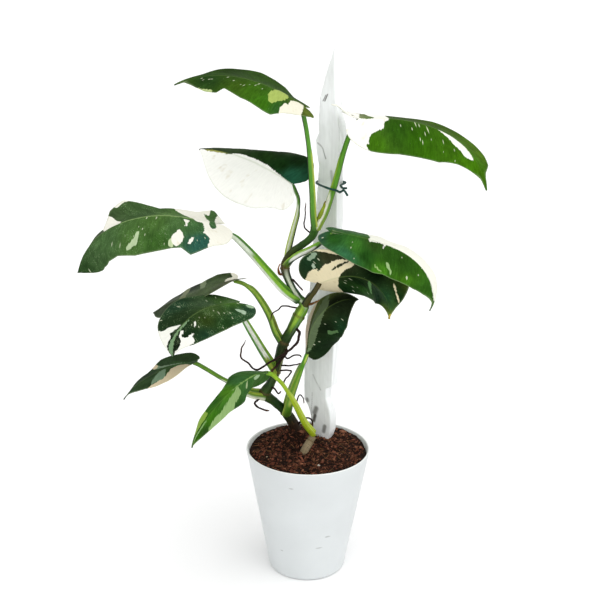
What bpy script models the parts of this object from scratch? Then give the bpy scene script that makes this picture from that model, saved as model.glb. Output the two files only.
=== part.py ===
"""A climbing philodendron with marbled leaves, in a white pot with a painted stake.

Units are metres, +Z up. The origin is the centre of the pot's flat foot. The
photograph looks along +Y, so +X is to its right and -Y is towards the camera.
Lengths in the tables below are millimetres, and angles are degrees.
"""

import math
from dataclasses import dataclass

import bmesh
import bpy
from mathutils import Vector, noise

MM = 0.001
GAP = 0.3  # clearance between two pieces that touch on the real plant

# Pot: a plain tapered shell with a thin rounded lip
POT_RIM_RADIUS = 70.0
POT_FOOT_RADIUS = 43.5
POT_HEIGHT = 148.0
POT_WALL = 2.2
POT_FLOOR = 3.0
POT_FOOT_ROUNDING = 4.5
POT_SIDES = 48
DRAIN_HOLES = 4
DRAIN_RADIUS = 4.0
DRAIN_RING_RADIUS = 25.0

# Soil: fills the pot to just below the lip, with a gently uneven top
SOIL_LEVEL = 141.5
SOIL_BUMP = 1.6
SOIL_RINGS = 7
SOIL_SIDES = 40

# Stake: a board with a wavy cut outline, turned so that its right edge shows
STAKE_CORNER = (23.5, 24.4)  # where the front face meets the right edge, at soil level
STAKE_TURN = -28.0
STAKE_THICKNESS = 15.5
STAKE_EDGE = 0.8
# Across the front face from that corner, and up from the ground
STAKE_OUTLINE = (
    (-18, 52), (-1, 52), (-1, 144), (2, 155), (2.5, 170), (1, 182), (-4, 196), (-4, 208), (3, 212),
    (4.5, 245), (5.5, 340), (6, 400), (4.5, 468), (8, 484), (9, 495), (7, 508), (3.5, 520), (1, 540),
    (0, 589), (-11, 561), (-17, 537), (-18.5, 519), (-18, 500), (-21.5, 492), (-20.5, 480), (-17, 464),
    (-22, 400), (-26, 340), (-30, 290), (-33, 240), (-32.5, 190), (-27, 182), (-23, 165), (-18, 147),
)

# Main stem: it leans and zigzags from node to node. Each point is a place and a radius.
STEM = (
    ((-7, 25, 92), 5), ((-9, 24, 136), 6.5), ((-16, 21, 164), 6.5), ((-27, 17, 184), 5.6),
    ((-39, 12, 198), 5.2), ((-49, 8, 209), 6.6), ((-43, 6, 222), 5.4), ((-37, 4, 238), 5.6),
    ((-33, 3, 255), 5.4), ((-28, 3, 272), 6), ((-20, 4, 287), 5.6), ((-11, 4, 305), 6.8),
    ((-6, 4, 317), 5.6), ((-13, 6, 325), 4.8), ((-21, 7, 339), 4.2), ((-27, 7, 357), 5),
    ((-22, 8, 372), 4.2), ((-10, 8, 382), 4), ((1, 8, 391), 4.2), ((5, 7, 402), 4.8), ((6, 7, 409), 3.4),
)
# A cut stub of an older stem, which carries the lowest stalk
STUB = (((-8, -14, 112), 4.5), ((-5, -9, 139), 5), ((-3, -4, 146), 5), ((2, 2, 153), 4.6), ((6, 6, 158), 4.2))

TIE_RADIUS = 1.3
TIE_ROUTE = (
    (39, 1, 439), (35, 4, 444), (31, 7, 441.5), (27, 3, 444), (21, 1, 446), (15, 6, 447), (6, 32, 446),
    (12, 49, 446), (18, 50, 446), (37, 37, 446), (32, 21, 446), (34, 9, 445.5), (38, 6, 446),
)

START_SHRINK = 0.6  # how much slimmer a stalk is at its very start, so that it starts wholly inside the stem
END_SHRINK = (0.45, 0.65)  # the same where it ends under the midrib, and just before that
END_REACH = 0.5  # how far past the start of the midrib it ends
BLADE_THICKNESS = 1.0
BLADE_ROWS = 14
BLADE_COLUMNS = 4
# Half of a blade laid flat: along the midrib, and out from it, as shares of length and half width
BLADE_OUTLINE = (
    (-0.08, 0.15), (-0.135, 0.33), (-0.12, 0.60), (-0.03, 0.86), (0.12, 0.98), (0.28, 1.0),
    (0.45, 0.93), (0.62, 0.78), (0.77, 0.57), (0.88, 0.33), (0.95, 0.13), (1.0, 0.0),
)
MIDRIB_STEPS = 60


@dataclass
class Leaf:
    """A blade bent from flat along its midrib. Pairs of angles are at the stalk and at the tip."""

    name: str
    base: tuple  # where the stalk meets the blade
    length: float
    half_width: float
    heading: tuple  # compass angle from +X
    climb: tuple  # above the horizon
    late: float  # 1 droops evenly, more droops mostly near the tip
    roll: tuple  # turn about the midrib
    fold_left: tuple  # how far each half is raised from flat
    fold_right: tuple
    curl: tuple  # further bend from midrib to margin, left and right
    taper: float  # how much faster than the outline it narrows to the tip
    left_share: float = 1.0  # width of each half against half_width
    right_share: float = 1.0


LEAVES = (
    Leaf("01", (-9, -8, 535), 137, 41, (168, 187), (30, -24), 1.5, (6, -4), (-7, -21), (-5, 3),
         (-27, 10), 0.1),
    Leaf("02", (50, -5, 522), 170, 42, (34, -50), (-3, -73), 2.0, (5, -2), (-5, -12), (-43, -24),
         (12, -18), -0.4),
    Leaf("03", (-20, 15, 448), 122, 44, (139, 167), (20, -2), 2.2, (-9, 3), (-35, -35), (67, 4), (-10, -72),
         -0.7, 1.1),
    Leaf("04", (-104, -20, 415), 167, 50, (187, 198), (13, -80), 1.8, (5, -2), (-9, -39), (-9, -25),
         (-29, 37),
         -0.3),
    Leaf("05", (-84, 25, 338), 103, 39, (187, 165), (-7, -34), 0.6, (6, -6), (14, -25), (-4, -8),
         (-6, 14), -0.2),
    Leaf("06", (-76, -40, 333), 104, 38, (206, 233), (3, -95), 2.0, (-1, -10), (-9, -17), (-16, 1),
         (-11, 18), -0.2),
    Leaf("07", (-128, -6, 253), 87, 28, (189, 194), (-9, -52), 1.5, (4, -5), (21, -23), (-2, -16),
         (-24, 14), 0.4),
    Leaf("08", (-43, -45, 257), 140, 26, (248, 203), (23, -70), 1.0, (-34, -10), (-92, -23), (-34, -22),
         (-7, -13), 0.3),
    Leaf("09", (22, -52, 414), 150, 37, (-15, -32), (-6, -117), 2.7, (34, 19), (-37, -24), (-89, -32),
         (-14, -1), 0.1),
    Leaf("10", (10, -14, 346), 117, 38, (-39, -37), (27, -103), 2.1, (77, 53), (26, -29), (-86, -67),
         (16, 21), -0.5),
    Leaf("11", (-3, -12, 265), 96, 37, (16, 8), (89, -10), 1.3, (21, 15), (-31, 1), (-87, -27),
         (-11, -15), -0.2),
)


@dataclass
class Stalk:
    """A leaf's stalk, from the stem up to just under its blade. Sizes are half width and half depth."""

    name: str
    route: tuple
    foot: tuple  # at the stem, where the sheath wraps round
    top: tuple
    sheath: float  # share of the length that the sheath reaches
    face: tuple  # the way its channelled side looks


STALKS = (
    Stalk("01", ((5, 7, 400), (3, 5, 417), (2, 2, 439), (0, -1, 466), (-2, -3, 488), (-5, -5, 509),
                 (-8, -6, 524)),
          (5, 4), (2.6, 2.6), 0.6, (1, 0, 0.1)),
    Stalk("02", ((7, 7, 401), (15, 8, 417), (21, 8, 435), (27, 8, 456), (33, 8, 481), (39, 5, 501),
                 (45, 1, 512)),
          (5, 4), (3.2, 3.0), 0.6, (-1, 0, 0.4)),
    Stalk("03", ((-25, 9, 360), (-24, 16, 374), (-19, 17, 396), (-14, 16, 416), (-13, 15, 431),
                 (-16, 15, 440)),
          (4, 3.5), (2.2, 2.2), 0.55, (1, -0.3, 0.4)),
    Stalk("04", ((-13, 6, 322), (-28, -1, 335), (-45, -6, 356), (-62, -12, 378), (-79, -17, 397),
                 (-93, -20, 407)),
          (6.6, 5), (2.6, 2.4), 0.72, (0.7, -0.2, 0.7)),
    Stalk("05", ((-29, 3, 271), (-37, 8, 283), (-43, 12, 298), (-51, 16, 312), (-61, 20, 325), (-71, 22, 331),
                 (-80, 22, 332)),
          (5, 4), (2.4, 2.3), 0.7, (0.6, -0.3, 0.7)),
    Stalk("06", ((-37, 4, 238), (-42, -4, 250), (-50, -13, 267), (-59, -24, 288), (-67, -34, 307),
                 (-73, -40, 322)),
          (6, 4.2), (2.8, 2.5), 0.75, (0.9, -0.6, 0.3)),
    Stalk("07", ((-49, 8, 207), (-66, 5, 211), (-81, 2, 221), (-97, -1, 231), (-112, -4, 242),
                 (-122, -6, 249)),
          (5.5, 4.5), (2.5, 2.4), 0.35, (0.3, -0.2, 1)),
    Stalk("08", ((6, 6, 161), (-4, -4, 179), (-15, -16, 207), (-27, -28, 234), (-36, -35, 247),
                 (-41, -38, 252)),
          (4.6, 4), (2.4, 2.2), 0.45, (0.5, -0.4, 0.8)),
    Stalk("09", ((-26, 6, 359), (-20, -1, 369), (-12, -3, 375), (0, -3, 381), (10, -8, 389), (18, -30, 402)),
          (4.4, 3.6), (2.8, 2.6), 0.7, (-0.3, 0, 1)),
    Stalk("10", ((-5, 4, 316), (-1, -2, 326), (4, -7, 334), (7, -10, 340)),
          (5.4, 4.6), (3.8, 3.2), 0.4, (-0.7, 0, 0.7)),
    Stalk("11", ((-25, 17, 183), (-23, 10, 195), (-20, 7, 209), (-14, 1, 229), (-9, -5, 245), (-5, -10, 256)),
          (6, 5), (2.8, 2.6), 0.75, (-1, -0.2, 0.3)),
)

# Air roots: the route starts inside the stem or stub; then the radius there and at the tip
ROOTS = (
    ("01", ((-16, 4, 292), (-11, -3, 287), (-11, -8, 283), (-14, -9, 276), (-22, -10, 268), (-31, -11, 262),
            (-43, -15, 256), (-57, -17, 248), (-66, -15, 254), (-74, -14, 261), (-74, -13, 269),
            (-69, -13, 281)),
     1.7, 0.8),
    ("02", ((-26, 2, 266), (-25, -5, 264), (-31, -6, 255), (-37, -7, 247), (-42, -8, 240)), 1.8, 1.2),
    ("03", ((-28, 1, 262), (-24, -5, 257), (-17, -7, 261), (-10, -7, 262), (-8, -9, 260)), 1.0, 0.7),
    ("04", ((-32, 2, 246), (-22, -6, 249), (-14, -9, 251), (-9, -11, 254)), 1.0, 0.7),
    ("05", ((-34, 2, 240), (-20, -4, 242), (-22, -5, 237), (-27, -4, 230), (-28, -2, 222)), 1.0, 0.8),
    ("06", ((-44, 6, 219), (-38, -1, 219), (-34, -3, 214), (-31, -2, 217)), 1.1, 0.8),
    ("07", ((-50, 8, 206), (-58, 0, 204), (-60, 0, 199), (-52, 0, 194), (-44, 1, 191)), 1.3, 1.0),
    ("08", ((-23, 17, 186), (-14, 17, 196), (-10, 16, 205), (-6, 14, 202), (-5, 12, 195)), 0.9, 0.6),
    ("09", ((-15, 21, 162), (-6, 16, 174), (1, 14, 177), (5, 14, 172), (4, 13, 163)), 1.2, 0.9),
    ("10", ((-21, 7, 343), (-18, 1, 346), (-12, -2, 340), (-7, -4, 335)), 1.2, 0.9),
    ("11", ((-10, 4, 312), (-28, 2, 316), (-34, 0, 312), (-40, -2, 308), (-42, -4, 300)), 1.0, 0.6),
    ("12", ((3, 8, 395), (-6, 5, 403), (-6, 6, 414), (-5, 7, 430)), 0.9, 0.6),
)
# Dry brown scales left where old leaves fell: route, then half width and half depth
SCALES = (
    ("01", ((-26, 7, 352), (-32, 3, 351), (-34, 1, 358), (-32, 0, 364)), (3.0, 0.9)),
    ("02", ((-7, 4, 317), (0, -2, 319), (7, -3, 322), (11, -4, 325)), (2.2, 1.4)),
    ("03", ((5, 7, 404), (10, 4, 416), (14, 4, 426), (16, 5, 432)), (2.6, 1.6)),
)

# Colour as red, green, blue, then roughness
FINISHES = {
    "pot": ((0.83, 0.84, 0.85), 0.35),
    "soil": ((0.075, 0.032, 0.022), 0.95),
    "stake": ((0.80, 0.82, 0.83), 0.55),
    "tie": ((0.012, 0.05, 0.04), 0.45),
    "stem": ((0.09, 0.20, 0.04), 0.45),
    "stub": ((0.30, 0.24, 0.13), 0.7),
    "blade": ((0.035, 0.10, 0.025), 0.35),
    "stalk": ((0.20, 0.36, 0.04), 0.4),
    "root": ((0.045, 0.02, 0.015), 0.75),
    "scale": ((0.24, 0.10, 0.035), 0.8),
}


def clear_scene():
    for obj in list(bpy.data.objects):
        bpy.data.objects.remove(obj, do_unlink=True)


def finish(kind):
    """The Principled material of one kind of piece, made once."""
    material = bpy.data.materials.get(kind)
    if material is None:
        colour, roughness = FINISHES[kind]
        material = bpy.data.materials.new(kind)
        material.use_nodes = True
        shader = material.node_tree.nodes["Principled BSDF"]
        shader.inputs["Base Color"].default_value = (*colour, 1)
        shader.inputs["Roughness"].default_value = roughness
        shader.inputs["Metallic"].default_value = 0
        material.diffuse_color = (*colour, 1)
    return material


def add_object(name, points, faces, kind):
    """A mesh object from points in millimetres."""
    mesh = bpy.data.meshes.new(name)
    mesh.from_pydata([Vector(p) * MM for p in points], [], faces)
    mesh.materials.append(finish(kind))
    obj = bpy.data.objects.new(name, mesh)
    bpy.context.scene.collection.objects.link(obj)
    return obj


def face_outwards(obj):
    shape = bmesh.new()
    shape.from_mesh(obj.data)
    bmesh.ops.recalc_face_normals(shape, faces=shape.faces)
    shape.to_mesh(obj.data)
    shape.free()
    return obj


def as_cutter(obj):
    obj.hide_render = True
    obj.display_type = "WIRE"
    return obj


def cut(obj, cutters, solver="EXACT"):
    """Takes the cutters' shapes out of the object, with live Booleans."""
    for cutter in cutters:
        modifier = obj.modifiers.new("clear_" + cutter.name, "BOOLEAN")
        modifier.operation = "DIFFERENCE"
        modifier.solver = solver
        modifier.object = cutter


def cut_tube(obj, cutters):
    """The same for a slender tube, which the EXACT solver can leave open or empty."""
    cut(obj, cutters, "MANIFOLD")


# Curves and tubes


def between_points(values, share):
    """The value at this share (0 to 1) of the way through a list, on a smooth Catmull-Rom curve."""
    last = len(values) - 1
    place = min(max(share * last, 0.0), last - 1e-9)
    i, f = int(place), place - int(place)
    a = values[i - 1] if i else 2 * values[0] - values[1]
    b, c = values[i], values[i + 1]
    d = values[i + 2] if i + 2 <= last else 2 * values[last] - values[last - 1]
    return 0.5 * (2 * b + (c - a) * f + (2 * a - 5 * b + 4 * c - d) * f**2 + (3 * b - a - 3 * c + d) * f**3)


def smooth(values, steps):
    return [between_points(values, k / steps) for k in range(steps + 1)]


def cross_frames(path, face):
    """At each point, the direction across and the one that faces as nearly as it can the way given."""
    frames = []
    facing = Vector(face)
    for k, here in enumerate(path):
        tangent = (path[min(k + 1, len(path) - 1)] - path[max(k - 1, 0)]).normalized()
        wanted = Vector(face)
        wanted -= tangent * wanted.dot(tangent)
        if wanted.length < 0.35 * Vector(face).length:
            wanted = facing - tangent * facing.dot(tangent)
        facing = wanted.normalized()
        frames.append((here, tangent.cross(facing), facing))
    return frames


def tube(name, path, sizes, kind, sides=8, face=(0, -1, 0)):
    """A closed tube along a path, with an elliptical section of these half widths and half depths."""
    points, faces = [], []
    for (here, across, facing), (width, depth) in zip(cross_frames(path, face), sizes):
        for k in range(sides):
            turn = math.tau * k / sides
            points.append(here + across * width * math.cos(turn) + facing * depth * math.sin(turn))
    for ring in range(len(path) - 1):
        for k in range(sides):
            a, b = ring * sides + k, ring * sides + (k + 1) % sides
            faces.append((a, b, b + sides, a + sides))
    faces.append(tuple(range(sides)))
    faces.append(tuple((len(path) - 1) * sides + k for k in range(sides)))
    return face_outwards(add_object(name, points, faces, kind))


def round_tube(name, stations, kind, sides=10, grow=0.0):
    """A tube through (place, radius) stations. A cutter is grown by the clearance."""
    steps = 2 * (len(stations) - 1)
    path = smooth([Vector(place) for place, _ in stations], steps)
    radii = smooth([radius for _, radius in stations], steps)
    return tube(name, path, [(r + grow, r + grow) for r in radii], kind, sides)


# Pot and soil


def lathe(name, profile, sides, kind):
    """A solid of revolution about Z from (radius, height) points that start and end on the axis."""
    points, faces, rings = [], [], []
    for radius, height in profile:
        if radius == 0:
            rings.append([len(points)])
            points.append((0, 0, height))
            continue
        rings.append([len(points) + k for k in range(sides)])
        for k in range(sides):
            turn = math.tau * k / sides
            points.append((radius * math.cos(turn), radius * math.sin(turn), height))
    for low, high in zip(rings, rings[1:]):
        for k in range(sides):
            corners = [low[k % len(low)], low[(k + 1) % len(low)]]
            corners += [high[(k + 1) % len(high)], high[k % len(high)]]
            faces.append(tuple(dict.fromkeys(corners)))
    return face_outwards(add_object(name, points, faces, kind))


def pot_outer_radius(height):
    return POT_FOOT_RADIUS + (POT_RIM_RADIUS - POT_FOOT_RADIUS) * height / POT_HEIGHT


def pot_inner_radius(height):
    return pot_outer_radius(height) - POT_WALL


def rounded(centre_radius, centre_height, size, start, end, steps):
    """Points on an arc of a pot's profile, by angle from outwards."""
    turns = [math.radians(start + (end - start) * k / steps) for k in range(steps + 1)]
    return [(centre_radius + size * math.cos(t), centre_height + size * math.sin(t)) for t in turns]


def make_pot():
    lip = POT_WALL / 2
    foot_centre = pot_outer_radius(POT_FOOT_ROUNDING) - POT_FOOT_ROUNDING
    inner_corner = pot_inner_radius(POT_FLOOR)
    profile = [(0, 0)]
    profile += rounded(foot_centre, POT_FOOT_ROUNDING, POT_FOOT_ROUNDING, -90, 0, 3)
    profile += [(pot_outer_radius(POT_HEIGHT / 2), POT_HEIGHT / 2)]
    profile += rounded(POT_RIM_RADIUS - lip, POT_HEIGHT - lip, lip, 0, 180, 4)
    profile += [(inner_corner - 0.5, POT_FLOOR + 4), (inner_corner - 4, POT_FLOOR), (0, POT_FLOOR)]
    pot = lathe("pot", profile, POT_SIDES, "pot")
    for k in range(DRAIN_HOLES):
        turn = math.tau * (k + 0.5) / DRAIN_HOLES
        x, y = DRAIN_RING_RADIUS * math.cos(turn), DRAIN_RING_RADIUS * math.sin(turn)
        drill = [((x, y, -2), DRAIN_RADIUS), ((x, y, POT_FLOOR + 2), DRAIN_RADIUS)]
        cut(pot, [as_cutter(round_tube(f"drill_{k}", drill, "pot", 12))])
    return pot


def soil_height(x, y):
    mound = 2.0 * (1 - (x * x + y * y) / POT_RIM_RADIUS**2)
    return SOIL_LEVEL + mound + SOIL_BUMP * noise.noise(Vector((x, y, 7)) * 0.06)


def make_soil(hole_cutters):
    top_radius = pot_inner_radius(SOIL_LEVEL) - GAP - 0.3
    bottom = POT_FLOOR + GAP
    bottom_radius = pot_inner_radius(POT_FLOOR) - 4 - GAP
    points, faces = [(0, 0, soil_height(0, 0))], []
    for ring in range(1, SOIL_RINGS + 1):
        radius = top_radius * ring / SOIL_RINGS
        for k in range(SOIL_SIDES):
            turn = math.tau * k / SOIL_SIDES
            x, y = radius * math.cos(turn), radius * math.sin(turn)
            points.append((x, y, soil_height(x, y) - (1.5 if ring == SOIL_RINGS else 0)))
    for radius, height in ((bottom_radius + 3.6, bottom + 5), (bottom_radius, bottom)):
        for k in range(SOIL_SIDES):
            turn = math.tau * k / SOIL_SIDES
            points.append((radius * math.cos(turn), radius * math.sin(turn), height))
    for k in range(SOIL_SIDES):
        faces.append((0, 1 + k, 1 + (k + 1) % SOIL_SIDES))
    for ring in range(SOIL_RINGS + 1):
        for k in range(SOIL_SIDES):
            a, b = 1 + ring * SOIL_SIDES + k, 1 + ring * SOIL_SIDES + (k + 1) % SOIL_SIDES
            faces.append((a, a + SOIL_SIDES, b + SOIL_SIDES, b))
    faces.append(tuple(len(points) - SOIL_SIDES + k for k in range(SOIL_SIDES)))
    soil = face_outwards(add_object("soil", points, faces, "soil"))
    cut(soil, hole_cutters)
    return soil


# Stake and tie


def make_board(name, grow, kind):
    """The stake's outline, as thick as the board, or larger all round for the hole it stands in."""
    across = Vector((math.cos(math.radians(STAKE_TURN)), math.sin(math.radians(STAKE_TURN)), 0))
    back = Vector((-across.y, across.x, 0))
    corner = Vector((*STAKE_CORNER, 0))
    outline = STAKE_OUTLINE
    if grow:
        outline = [(u + math.copysign(grow, u + 9), z - grow if z < 60 else z) for u, z in outline if z < 200]
    front = [corner + across * u - back * grow + Vector((0, 0, z)) for u, z in outline]
    count = len(front)
    points = front + [p + back * (STAKE_THICKNESS + 2 * grow) for p in front]
    faces = [tuple(range(count)), tuple(range(count, 2 * count))]
    faces += [(k, (k + 1) % count, count + (k + 1) % count, count + k) for k in range(count)]
    return face_outwards(add_object(name, points, faces, kind))


def make_stake():
    stake = make_board("stake", 0, "stake")
    edge = stake.modifiers.new("worn_edges", "BEVEL")
    edge.width = STAKE_EDGE * MM
    edge.segments = 1
    edge.limit_method = "ANGLE"
    edge.angle_limit = math.radians(50)
    return stake


def make_tie():
    path = smooth([Vector(p) for p in TIE_ROUTE], 3 * (len(TIE_ROUTE) - 1))
    return tube("tie", path, [(TIE_RADIUS, TIE_RADIUS)] * len(path), "tie", 6, (0, 0, 1))


# Leaves


def along(pair, share):
    return pair[0] + (pair[1] - pair[0]) * share


def midrib(leaf):
    """Place, side and upward direction at even steps along the midrib, starting behind the stalk."""
    first = -int(0.2 * MIDRIB_STEPS)
    step = leaf.length / MIDRIB_STEPS
    stations, place = [], Vector((0, 0, 0))
    previous = None
    for k in range(first, MIDRIB_STEPS + 1):
        share = max(k / MIDRIB_STEPS, 0.0)
        turn = math.radians(along(leaf.heading, share))
        rise = math.radians(along(leaf.climb, share**leaf.late))
        roll = math.radians(along(leaf.roll, share))
        tangent = Vector((math.cos(rise) * math.cos(turn), math.cos(rise) * math.sin(turn), math.sin(rise)))
        level = Vector((-math.sin(turn), math.cos(turn), 0))
        over = tangent.cross(level)
        side = level * math.cos(roll) + over * math.sin(roll)
        if previous is not None:
            place = place + (previous + tangent) * 0.5 * step
        previous = tangent
        stations.append((place.copy(), side, tangent.cross(side), tangent))
    origin = stations[-first][0]
    shift = Vector(leaf.base) - origin
    return [(place + shift, side, up, tangent) for place, side, up, tangent in stations]


def midrib_at(stations, share):
    place = min(max((share + 0.2) * MIDRIB_STEPS, 0), len(stations) - 1.001)
    i, f = int(place), place - int(place)
    return [a.lerp(b, f) for a, b in zip(stations[i], stations[i + 1])]


def blade_point(leaf, stations, x, y, side):
    """The flat leaf's point (x, y), in shares, on its left (+1) or right (-1) half, once bent."""
    place, across, up, _ = midrib_at(stations, x)
    fold_pair, curl, share = (
        (leaf.fold_left, leaf.curl[0], leaf.left_share)
        if side > 0
        else (leaf.fold_right, leaf.curl[1], leaf.right_share)
    )
    fold = math.radians(along(fold_pair, min(max(x, 0), 1)))
    bend = math.radians(curl)
    y *= share
    out = (math.sin(fold + bend * y) - math.sin(fold)) / bend
    lift = -(math.cos(fold + bend * y) - math.cos(fold)) / bend
    return place + (across * side * out + up * lift) * leaf.half_width


def blade_sheet(name, leaf):
    """The upper face of a blade, as an open sheet of two halves that meet on the midrib."""
    stations = midrib(leaf)
    outline = [Vector(p) for p in BLADE_OUTLINE]
    points, faces, index = [], [], {}
    for side in (1, -1):
        for i in range(BLADE_ROWS + 1):
            s = i / BLADE_ROWS
            edge = between_points(outline, s)
            edge.y *= 1 - leaf.taper * max(edge.x - 0.25, 0)
            rib = s**1.7
            for j in range(BLADE_COLUMNS + 1):
                u = j / BLADE_COLUMNS
                if j == 0 and side < 0 or i == BLADE_ROWS and (j or side < 0):
                    index[side, i, j] = index[1, i, 0]
                    continue
                index[side, i, j] = len(points)
                points.append(blade_point(leaf, stations, rib + (edge.x - rib) * u, edge.y * u, side))
        for i in range(BLADE_ROWS):
            for j in range(BLADE_COLUMNS):
                corners = [index[side, a, b] for a, b in ((i, j), (i + 1, j), (i + 1, j + 1), (i, j + 1))]
                corners = list(dict.fromkeys(corners))
                if len(corners) > 2:
                    faces.append(tuple(corners if side > 0 else reversed(corners)))
    return add_object(name, points, faces, "blade")


def make_blade(name, leaf, grow=0.0):
    """The blade as a solid, or grown by the clearance on both faces to cut its stalk."""
    blade = blade_sheet(name, leaf)
    shell = blade.modifiers.new("thickness", "SOLIDIFY")
    shell.thickness = (BLADE_THICKNESS + 2 * grow) * MM
    shell.offset = 2 * grow / (BLADE_THICKNESS + 2 * grow) - 1
    shell.use_even_offset = True
    shell.use_rim = True
    return blade


def under_midrib(leaf, depth):
    """A point this deep under the start of the midrib, midway between the two halves of the blade."""
    place, side, up, tangent = midrib_at(midrib(leaf), 0.0)
    left, right = math.radians(leaf.fold_left[0]), math.radians(leaf.fold_right[0])
    lean, opening = (left - right) / 2, max(math.cos((left + right) / 2), 0.5)
    return place + tangent * END_REACH + (side * math.sin(lean) - up * math.cos(lean)) * depth / opening


def stalk_path(stalk, leaf):
    """The stalk's route, ended just under the blade's midrib."""
    under = under_midrib(leaf, BLADE_THICKNESS + GAP + END_SHRINK[0] * stalk.top[1])
    return smooth([Vector(p) for p in stalk.route] + [under], 2 * len(stalk.route))


def stalk_sizes(stalk, count, grow):
    """Wide where the sheath wraps the stem, narrowing to its tip, then slim up to the blade."""
    sizes = []
    for k in range(count):
        share = k / (count - 1)
        spread = max(1 - share / stalk.sheath, 0) ** 0.7
        sizes.append(tuple(top + (foot - top) * spread + grow for foot, top in zip(stalk.foot, stalk.top)))
    sizes[0] = tuple(START_SHRINK * size for size in sizes[0])
    for back, shrink in enumerate(END_SHRINK, 1):
        sizes[-back] = tuple(shrink * size for size in sizes[-back])
    return sizes


def make_stalk(name, stalk, leaf, grow=0.0):
    path = stalk_path(stalk, leaf)
    return tube(name, path, stalk_sizes(stalk, len(path), grow), "stalk", 8, stalk.face)


# Stalks that spring from one node, so that the later is cut clear of the earlier
CLOSE_STALKS = {"01": ("02",), "03": ("09",), "04": ("10",), "05": ("06",)}


def make_leaves(stem_cutter, stub_cutter):
    """Blades and stalks, each stalk cut clear of its blade, the stem or stub, and earlier stalks."""
    done = []
    for leaf, stalk in zip(LEAVES, STALKS):
        make_blade(f"leaf_blade_{leaf.name}", leaf)
        piece = make_stalk(f"leaf_stalk_{leaf.name}", stalk, leaf)
        grown_blade = as_cutter(make_blade(f"cut_blade_{leaf.name}", leaf, GAP))
        carrier = stub_cutter if leaf.name == "08" else stem_cutter
        earlier = [cutter for cutter in done if leaf.name in CLOSE_STALKS.get(cutter.name[-2:], ())]
        cut_tube(piece, [grown_blade, carrier] + earlier)
        done.append(as_cutter(make_stalk(f"cut_stalk_{leaf.name}", stalk, leaf, GAP)))
    return done


def make_roots(cutters):
    for name, route, thick, thin in ROOTS:
        path = smooth([Vector(p) for p in route], 2 * (len(route) - 1))
        radii = [along((thick, thin), k / (len(path) - 1)) for k in range(len(path))]
        cut_tube(tube(f"air_root_{name}", path, [(r, r) for r in radii], "root", 6), cutters)


def make_scales(cutters):
    for name, route, (width, depth) in SCALES:
        path = smooth([Vector(p) for p in route], 2 * (len(route) - 1))
        shares = [1 - 0.75 * k / (len(path) - 1) for k in range(len(path))]
        sizes = [(width * share, depth * share) for share in shares]
        cut_tube(tube(f"dry_scale_{name}", path, sizes, "scale", 6), cutters)


def main():
    clear_scene()
    make_pot()
    make_stake()
    make_tie()
    round_tube("main_stem", STEM, "stem")
    round_tube("stem_stub", STUB, "stub")
    stem_cutter = as_cutter(round_tube("cut_stem", STEM, "stem", grow=GAP))
    stub_cutter = as_cutter(round_tube("cut_stub", STUB, "stub", grow=GAP))
    make_soil((stem_cutter, stub_cutter, as_cutter(make_board("cut_stake", GAP, "stake"))))
    stalk_cutters = make_leaves(stem_cutter, stub_cutter)
    make_roots([stem_cutter] + stalk_cutters)
    make_scales([stem_cutter] + stalk_cutters)


if __name__ == "__main__":
    main()
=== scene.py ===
"""The potted philodendron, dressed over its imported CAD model.

Run it in Blender 4.5 as a script. Each piece, or group of like pieces, has an operator, listed in the
Philodendron panel of the 3D view's sidebar. Lengths are millimetres and angles degrees, in the CAD model's
frame: the pot's foot is at the origin, +X is to the right in the photograph, and -Y is towards its camera.

A table's text holds rows of numbers with commas between them. A row is a place on a route or an outline, or
a share of a length and what is found there. Where it gives a colour, it ends with the web-style code.
"""

import math
from dataclasses import dataclass
from functools import cache

import bpy
import numpy as np
from mathutils import Matrix


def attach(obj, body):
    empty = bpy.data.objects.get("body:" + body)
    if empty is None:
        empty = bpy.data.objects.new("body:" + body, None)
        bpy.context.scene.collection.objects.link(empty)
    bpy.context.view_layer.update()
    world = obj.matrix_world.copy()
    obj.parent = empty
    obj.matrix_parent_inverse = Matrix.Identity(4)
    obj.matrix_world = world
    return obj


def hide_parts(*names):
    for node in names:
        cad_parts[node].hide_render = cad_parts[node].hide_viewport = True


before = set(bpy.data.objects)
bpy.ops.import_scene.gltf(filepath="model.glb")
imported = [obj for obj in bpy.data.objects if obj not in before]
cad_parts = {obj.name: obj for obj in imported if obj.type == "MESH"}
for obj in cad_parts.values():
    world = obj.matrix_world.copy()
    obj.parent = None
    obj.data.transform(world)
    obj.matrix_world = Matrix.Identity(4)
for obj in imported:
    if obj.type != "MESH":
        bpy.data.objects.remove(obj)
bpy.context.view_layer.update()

bl_info = {
    "name": "Potted philodendron",
    "version": (1, 0, 0),
    "blender": (4, 5, 0),
    "location": "View3D > Sidebar > Philodendron",
    "description": "Leaves, stalks, stake, pot and soil of a climbing philodendron",
    "category": "Object",
}

MM = 0.001
LIGHT_LEVEL = 1.18  # how bright a white surface looks in the studio's light

# Leaf blades: the same shapes as in the part's source


@dataclass
class Leaf:
    """A blade bent from flat along its midrib. Pairs of angles are at the stalk and at the tip."""

    name: str
    base: tuple
    length: float
    half_width: float
    heading: tuple
    climb: tuple
    late: float  # power that keeps the change of climb towards the tip
    roll: tuple
    fold_left: tuple
    fold_right: tuple
    curl: tuple  # of the left and the right half
    taper: float
    left_share: float = 1.0
    right_share: float = 1.0


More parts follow.
